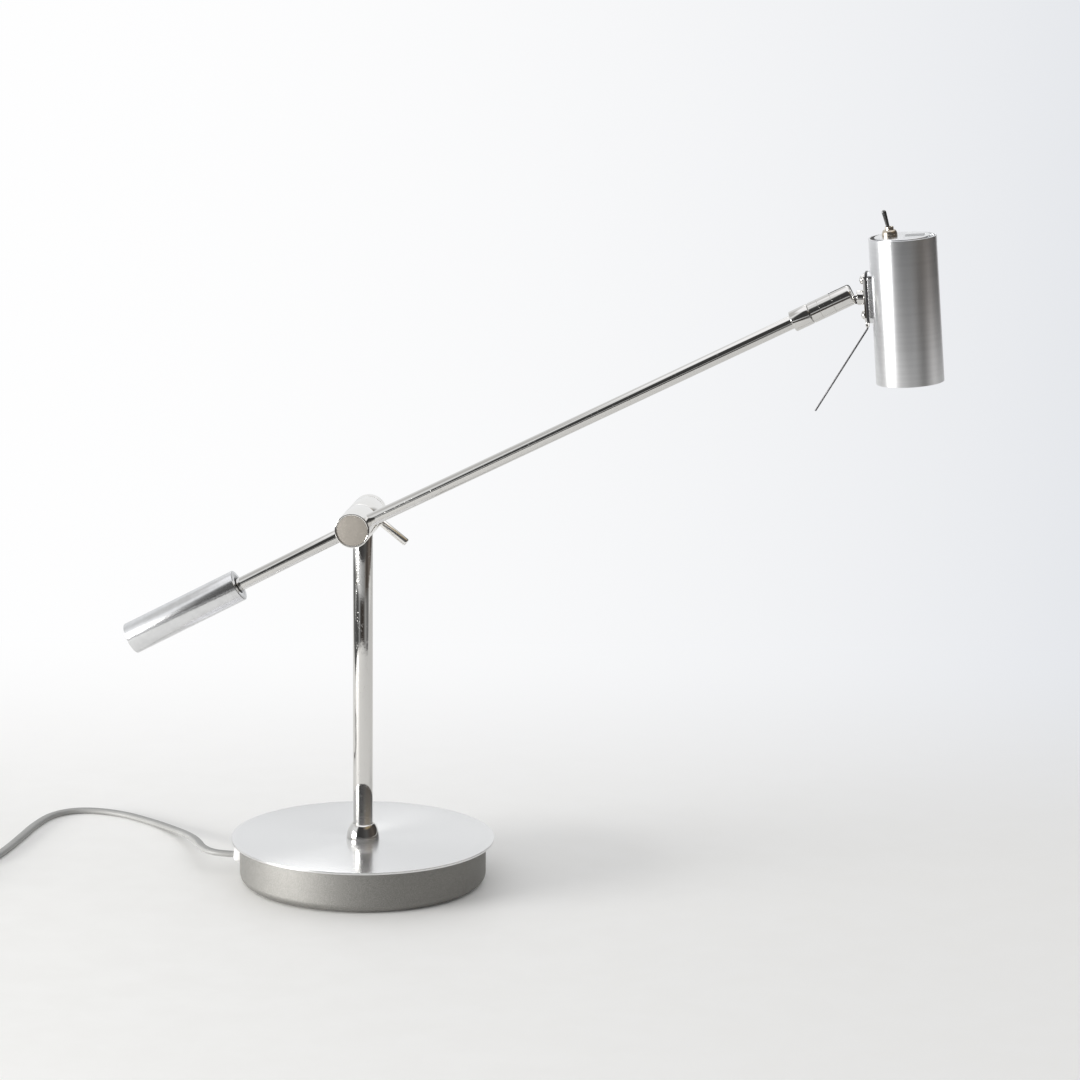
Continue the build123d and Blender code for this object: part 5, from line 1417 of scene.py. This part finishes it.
# ---- operators: the studio -----------------------------------------------------------------------
class LAMP_OT_studio(bpy.types.Operator):
    """Sets up the pale desk, the window light, the fill and the camera"""

    bl_idname = "lamp.studio"
    bl_label = "Studio"

    def execute(self, context):
        studio = context.scene.lamp_studio
        toward = self.camera(context, studio)
        self.floor(studio, toward)
        self.window(studio, toward)
        self.world(context, studio, toward)
        context.scene.view_settings.view_transform = "Standard"
        return {"FINISHED"}

    def camera(self, context, studio):
        """Looks along a direction, from where the origin falls on its pixel; returns that direction."""
        around, down = studio.azimuth, studio.elevation
        ahead, sideways = -math.cos(around) * math.cos(down), math.sin(around) * math.cos(down)
        back = Vector((sideways, ahead, math.sin(down)))
        level = Vector((math.cos(around), math.sin(around), 0))
        upward = back.cross(level)
        right = level * math.cos(studio.roll) + upward * math.sin(studio.roll)
        up = back.cross(right)
        across, below = self.off_middle(studio)
        data = bpy.data.cameras.new("camera")
        data.sensor_width = SENSOR
        data.lens = studio.lens
        data.clip_end = 100.0
        made = bpy.data.objects.new("camera", data)
        turn = Matrix((right, up, back)).transposed().to_4x4()
        made.matrix_world = Matrix.Translation(back * studio.distance - right * across + up * below) @ turn
        context.scene.collection.objects.link(made)
        context.scene.camera = made
        return back

    def floor(self, studio, toward):
        """A wide white table: it fades into the background for the camera and ends early in reflections."""
        bm = bmesh.new()
        bmesh.ops.create_circle(bm, cap_ends=True, segments=64, radius=TABLE_REACH)
        mesh = bpy.data.meshes.new("table")
        bm.to_mesh(mesh)
        bm.free()
        made = bpy.data.objects.new("table", mesh)
        bpy.context.scene.collection.objects.link(made)
        shader = new_shader("table")
        place = shader.place()
        front, side = self.around(shader, place, toward)
        radius = shader.reach(place)
        rays = shader.node("LightPath", None, None, output="Is Camera Ray")
        fade = (0 - front).above(0.0, studio.table_fade) * rays
        back, right = self.camera_spot(studio)
        # the far table takes the background's colour, with its painted light and shade
        behind = self.painted_falloff_backdrop(shader, studio, (side - right) / (back - front))
        far = shader.node("Emission", None, {"Color": behind, "Strength": 1.0})
        stone = self.stone(shader, studio, place, side)
        table = shader.node("MixShader", None, {0: fade, 1: stone, 2: far})
        under, level = (self.room(shader, front, side, ring) for ring in (UNDER, FAR))
        beyond = shader.mix(radius.above(*FAR_BAND), under, level)
        room = shader.node("Emission", None, {"Color": beyond, "Strength": 1.0})
        end = self.room(shader, front, side, TABLE_ENDS)
        gone = (radius / studio.table_end - end).above(-TABLE_EDGE, TABLE_EDGE)
        mirrored = gone * rays.sibling("Is Glossy Ray")
        shader.end(shader.node("MixShader", None, {0: mirrored, 1: table, 2: room}))
        mesh.materials.append(shader.owner)

    def off_middle(self, studio):
        """How far to the right of the picture's middle, and how far below it, the lamp's origin lies."""
        focal = studio.lens / SENSOR * PICTURE
        return [(pixel - PICTURE / 2) / focal * studio.distance for pixel in studio.origin_px]

    def camera_spot(self, studio):
        """About how far the camera stands in front of the stem and to its right, along the table."""
        return studio.distance * math.cos(studio.elevation), -self.off_middle(studio)[0]

    def stone(self, shader, studio, place, side):
        """White stone with faint clouds, its colour greyed a little to the right as painted shade."""
        cloud = shader.noise(place, 30.0, 3.0, 0.6).above(0.3, 0.7) * 0.25
        # painted shade: the colour greys towards the right, away from the window light
        painted_falloff = shader.mix(side.above(-0.30, 0.45), studio.table_left, studio.table_painted_shade_right)
        tone = shader.mix(cloud, painted_falloff, studio.table_cloud)
        return shader.node("BsdfPrincipled", None, {"Base Color": tone, "Roughness": 0.6}, output="BSDF")

    def around(self, shader, vector, toward):
        """How far a vector reaches towards the camera, and how far to its right."""
        level = Vector((toward.x, toward.y, 0)).normalized()
        across = Vector((-level.y, level.x, 0))
        return shader.along(vector, level), shader.along(vector, across)

    def painted_falloff_backdrop(self, shader, studio, slope):
        """White on the left that greys softly to the right, as painted light and shade of the window's falloff;
        slope is the way across per metre of depth.
        """
        half_view = SENSOR / 2 / studio.lens
        share = (slope / (2 * half_view) + 0.5).held(0.0, 1.2)
        return shader.mix(share * share, studio.back_left, studio.back_painted_shade_right)

    def room(self, shader, front, right, ring):
        """The value that a ring gives for the direction of a place or of a ray."""
        turn = right.bearing(front) / (2 * math.pi) + 0.5
        stops = [((degrees + 180) / 360, shade(tint, value)) for degrees, value, tint in ring]
        return shader.node("ValToRGB", {"stops": stops}, {"Fac": turn}, output="Color")

    def window(self, studio, toward):
        """A wide soft window, low on the left of the camera."""
        data = bpy.data.lights.new("window", "AREA")
        data.shape = "RECTANGLE"
        data.size = studio.window_w
        data.size_y = studio.window_h
        data.energy = studio.window
        data.color = studio.window_tint
        made = bpy.data.objects.new("window", data)
        level = Vector((toward.x, toward.y, 0)).normalized()
        way = Matrix.Rotation(-studio.window_turn, 3, "Z") @ level
        spot = way * studio.window_out + Vector((0, 0, studio.window_up))
        facing_lamp = (Vector(LAMP_MIDDLE) - spot).to_track_quat("-Z", "Y")
        made.matrix_world = Matrix.Translation(spot) @ facing_lamp.to_matrix().to_4x4()
        bpy.context.scene.collection.objects.link(made)

    def world(self, context, studio, toward):
        """Even fill light for dull surfaces, and the room that polished ones mirror."""
        world = bpy.data.worlds.new("studio")
        context.scene.world = world
        shader = Shader(world)
        way = shader.node("TexCoord", output="Generated")
        front, right = self.around(shader, way, toward)
        height = shader.node("SeparateXYZ", None, {0: way}, output="Z")
        level, upper = (self.room(shader, front, right, ring) for ring in (ROOM, UPPER))
        seen = shader.mix(height.above(*UPPER_BAND), level, upper)
        seen = shader.mix(height.above(*CEILING_BAND), seen, CEILING)
        patch = shader.along(way, Vector(STREAK_WAY).normalized())
        seen = shader.mix(patch.above(*STREAK_BAND), seen, STREAK_LIGHT)
        # the background for the camera, painted light on the left and painted shade on the right
        behind = self.painted_falloff_backdrop(shader, studio, right / (0 - front))
        fill, mirror, painted_falloff_backdrop = (
            shader.node("Background", None, {"Color": tint, "Strength": strength})
            for tint, strength in ((studio.sky_tint, studio.sky), (seen, 1.0), (behind, 1.0))
        )
        rays = shader.node("LightPath", None, None, output="Is Glossy Ray")
        light = shader.node("MixShader", None, {0: rays, 1: fill, 2: mirror})
        camera = rays.sibling("Is Camera Ray")
        shader.end(shader.node("MixShader", None, {0: camera, 1: light, 2: painted_falloff_backdrop}), "World")


class LAMP_PT_parts(bpy.types.Panel):
    """Lists the lamp's operators"""

    bl_label = "Balance Desk Lamp"
    bl_idname = "LAMP_PT_parts"
    bl_space_type = "VIEW_3D"
    bl_region_type = "UI"
    bl_category = "Lamp"

    def draw(self, context):
        """One button for each operator."""
        for operator in OPERATORS:
            self.layout.operator(operator.bl_idname)


OPERATORS = (LAMP_OT_studio, LAMP_OT_cord, LAMP_OT_base, LAMP_OT_stem, LAMP_OT_pivot, LAMP_OT_arm,
             LAMP_OT_head, LAMP_OT_bracket, LAMP_OT_switch, LAMP_OT_light)
GROUPS = {
    "lamp_base": BaseSizes, "lamp_pivot": PivotSizes, "lamp_arm": ArmSizes, "lamp_head": HeadSizes,
    "lamp_switch": SwitchSizes, "lamp_light": LightSizes, "lamp_cord": CordSizes, "lamp_finishes": Finishes,
    "lamp_studio": Studio,
}


def register():
    """Adds the sizes, the operators and the panel."""
    for group in GROUPS.values():
        bpy.utils.register_class(group)
    for name, group in GROUPS.items():
        setattr(bpy.types.Scene, name, bpy.props.PointerProperty(type=group))
    for kind in (*OPERATORS, LAMP_PT_parts):
        bpy.utils.register_class(kind)


def unregister():
    """Takes them away again."""
    for kind in (LAMP_PT_parts, *reversed(OPERATORS)):
        bpy.utils.unregister_class(kind)
    for name, group in GROUPS.items():
        delattr(bpy.types.Scene, name)
        bpy.utils.unregister_class(group)


def main():
    """Builds everything."""
    register()
    for operator in OPERATORS:
        group, name = operator.bl_idname.split(".")
        getattr(getattr(bpy.ops, group), name)()


if __name__ == "__main__":
    main()
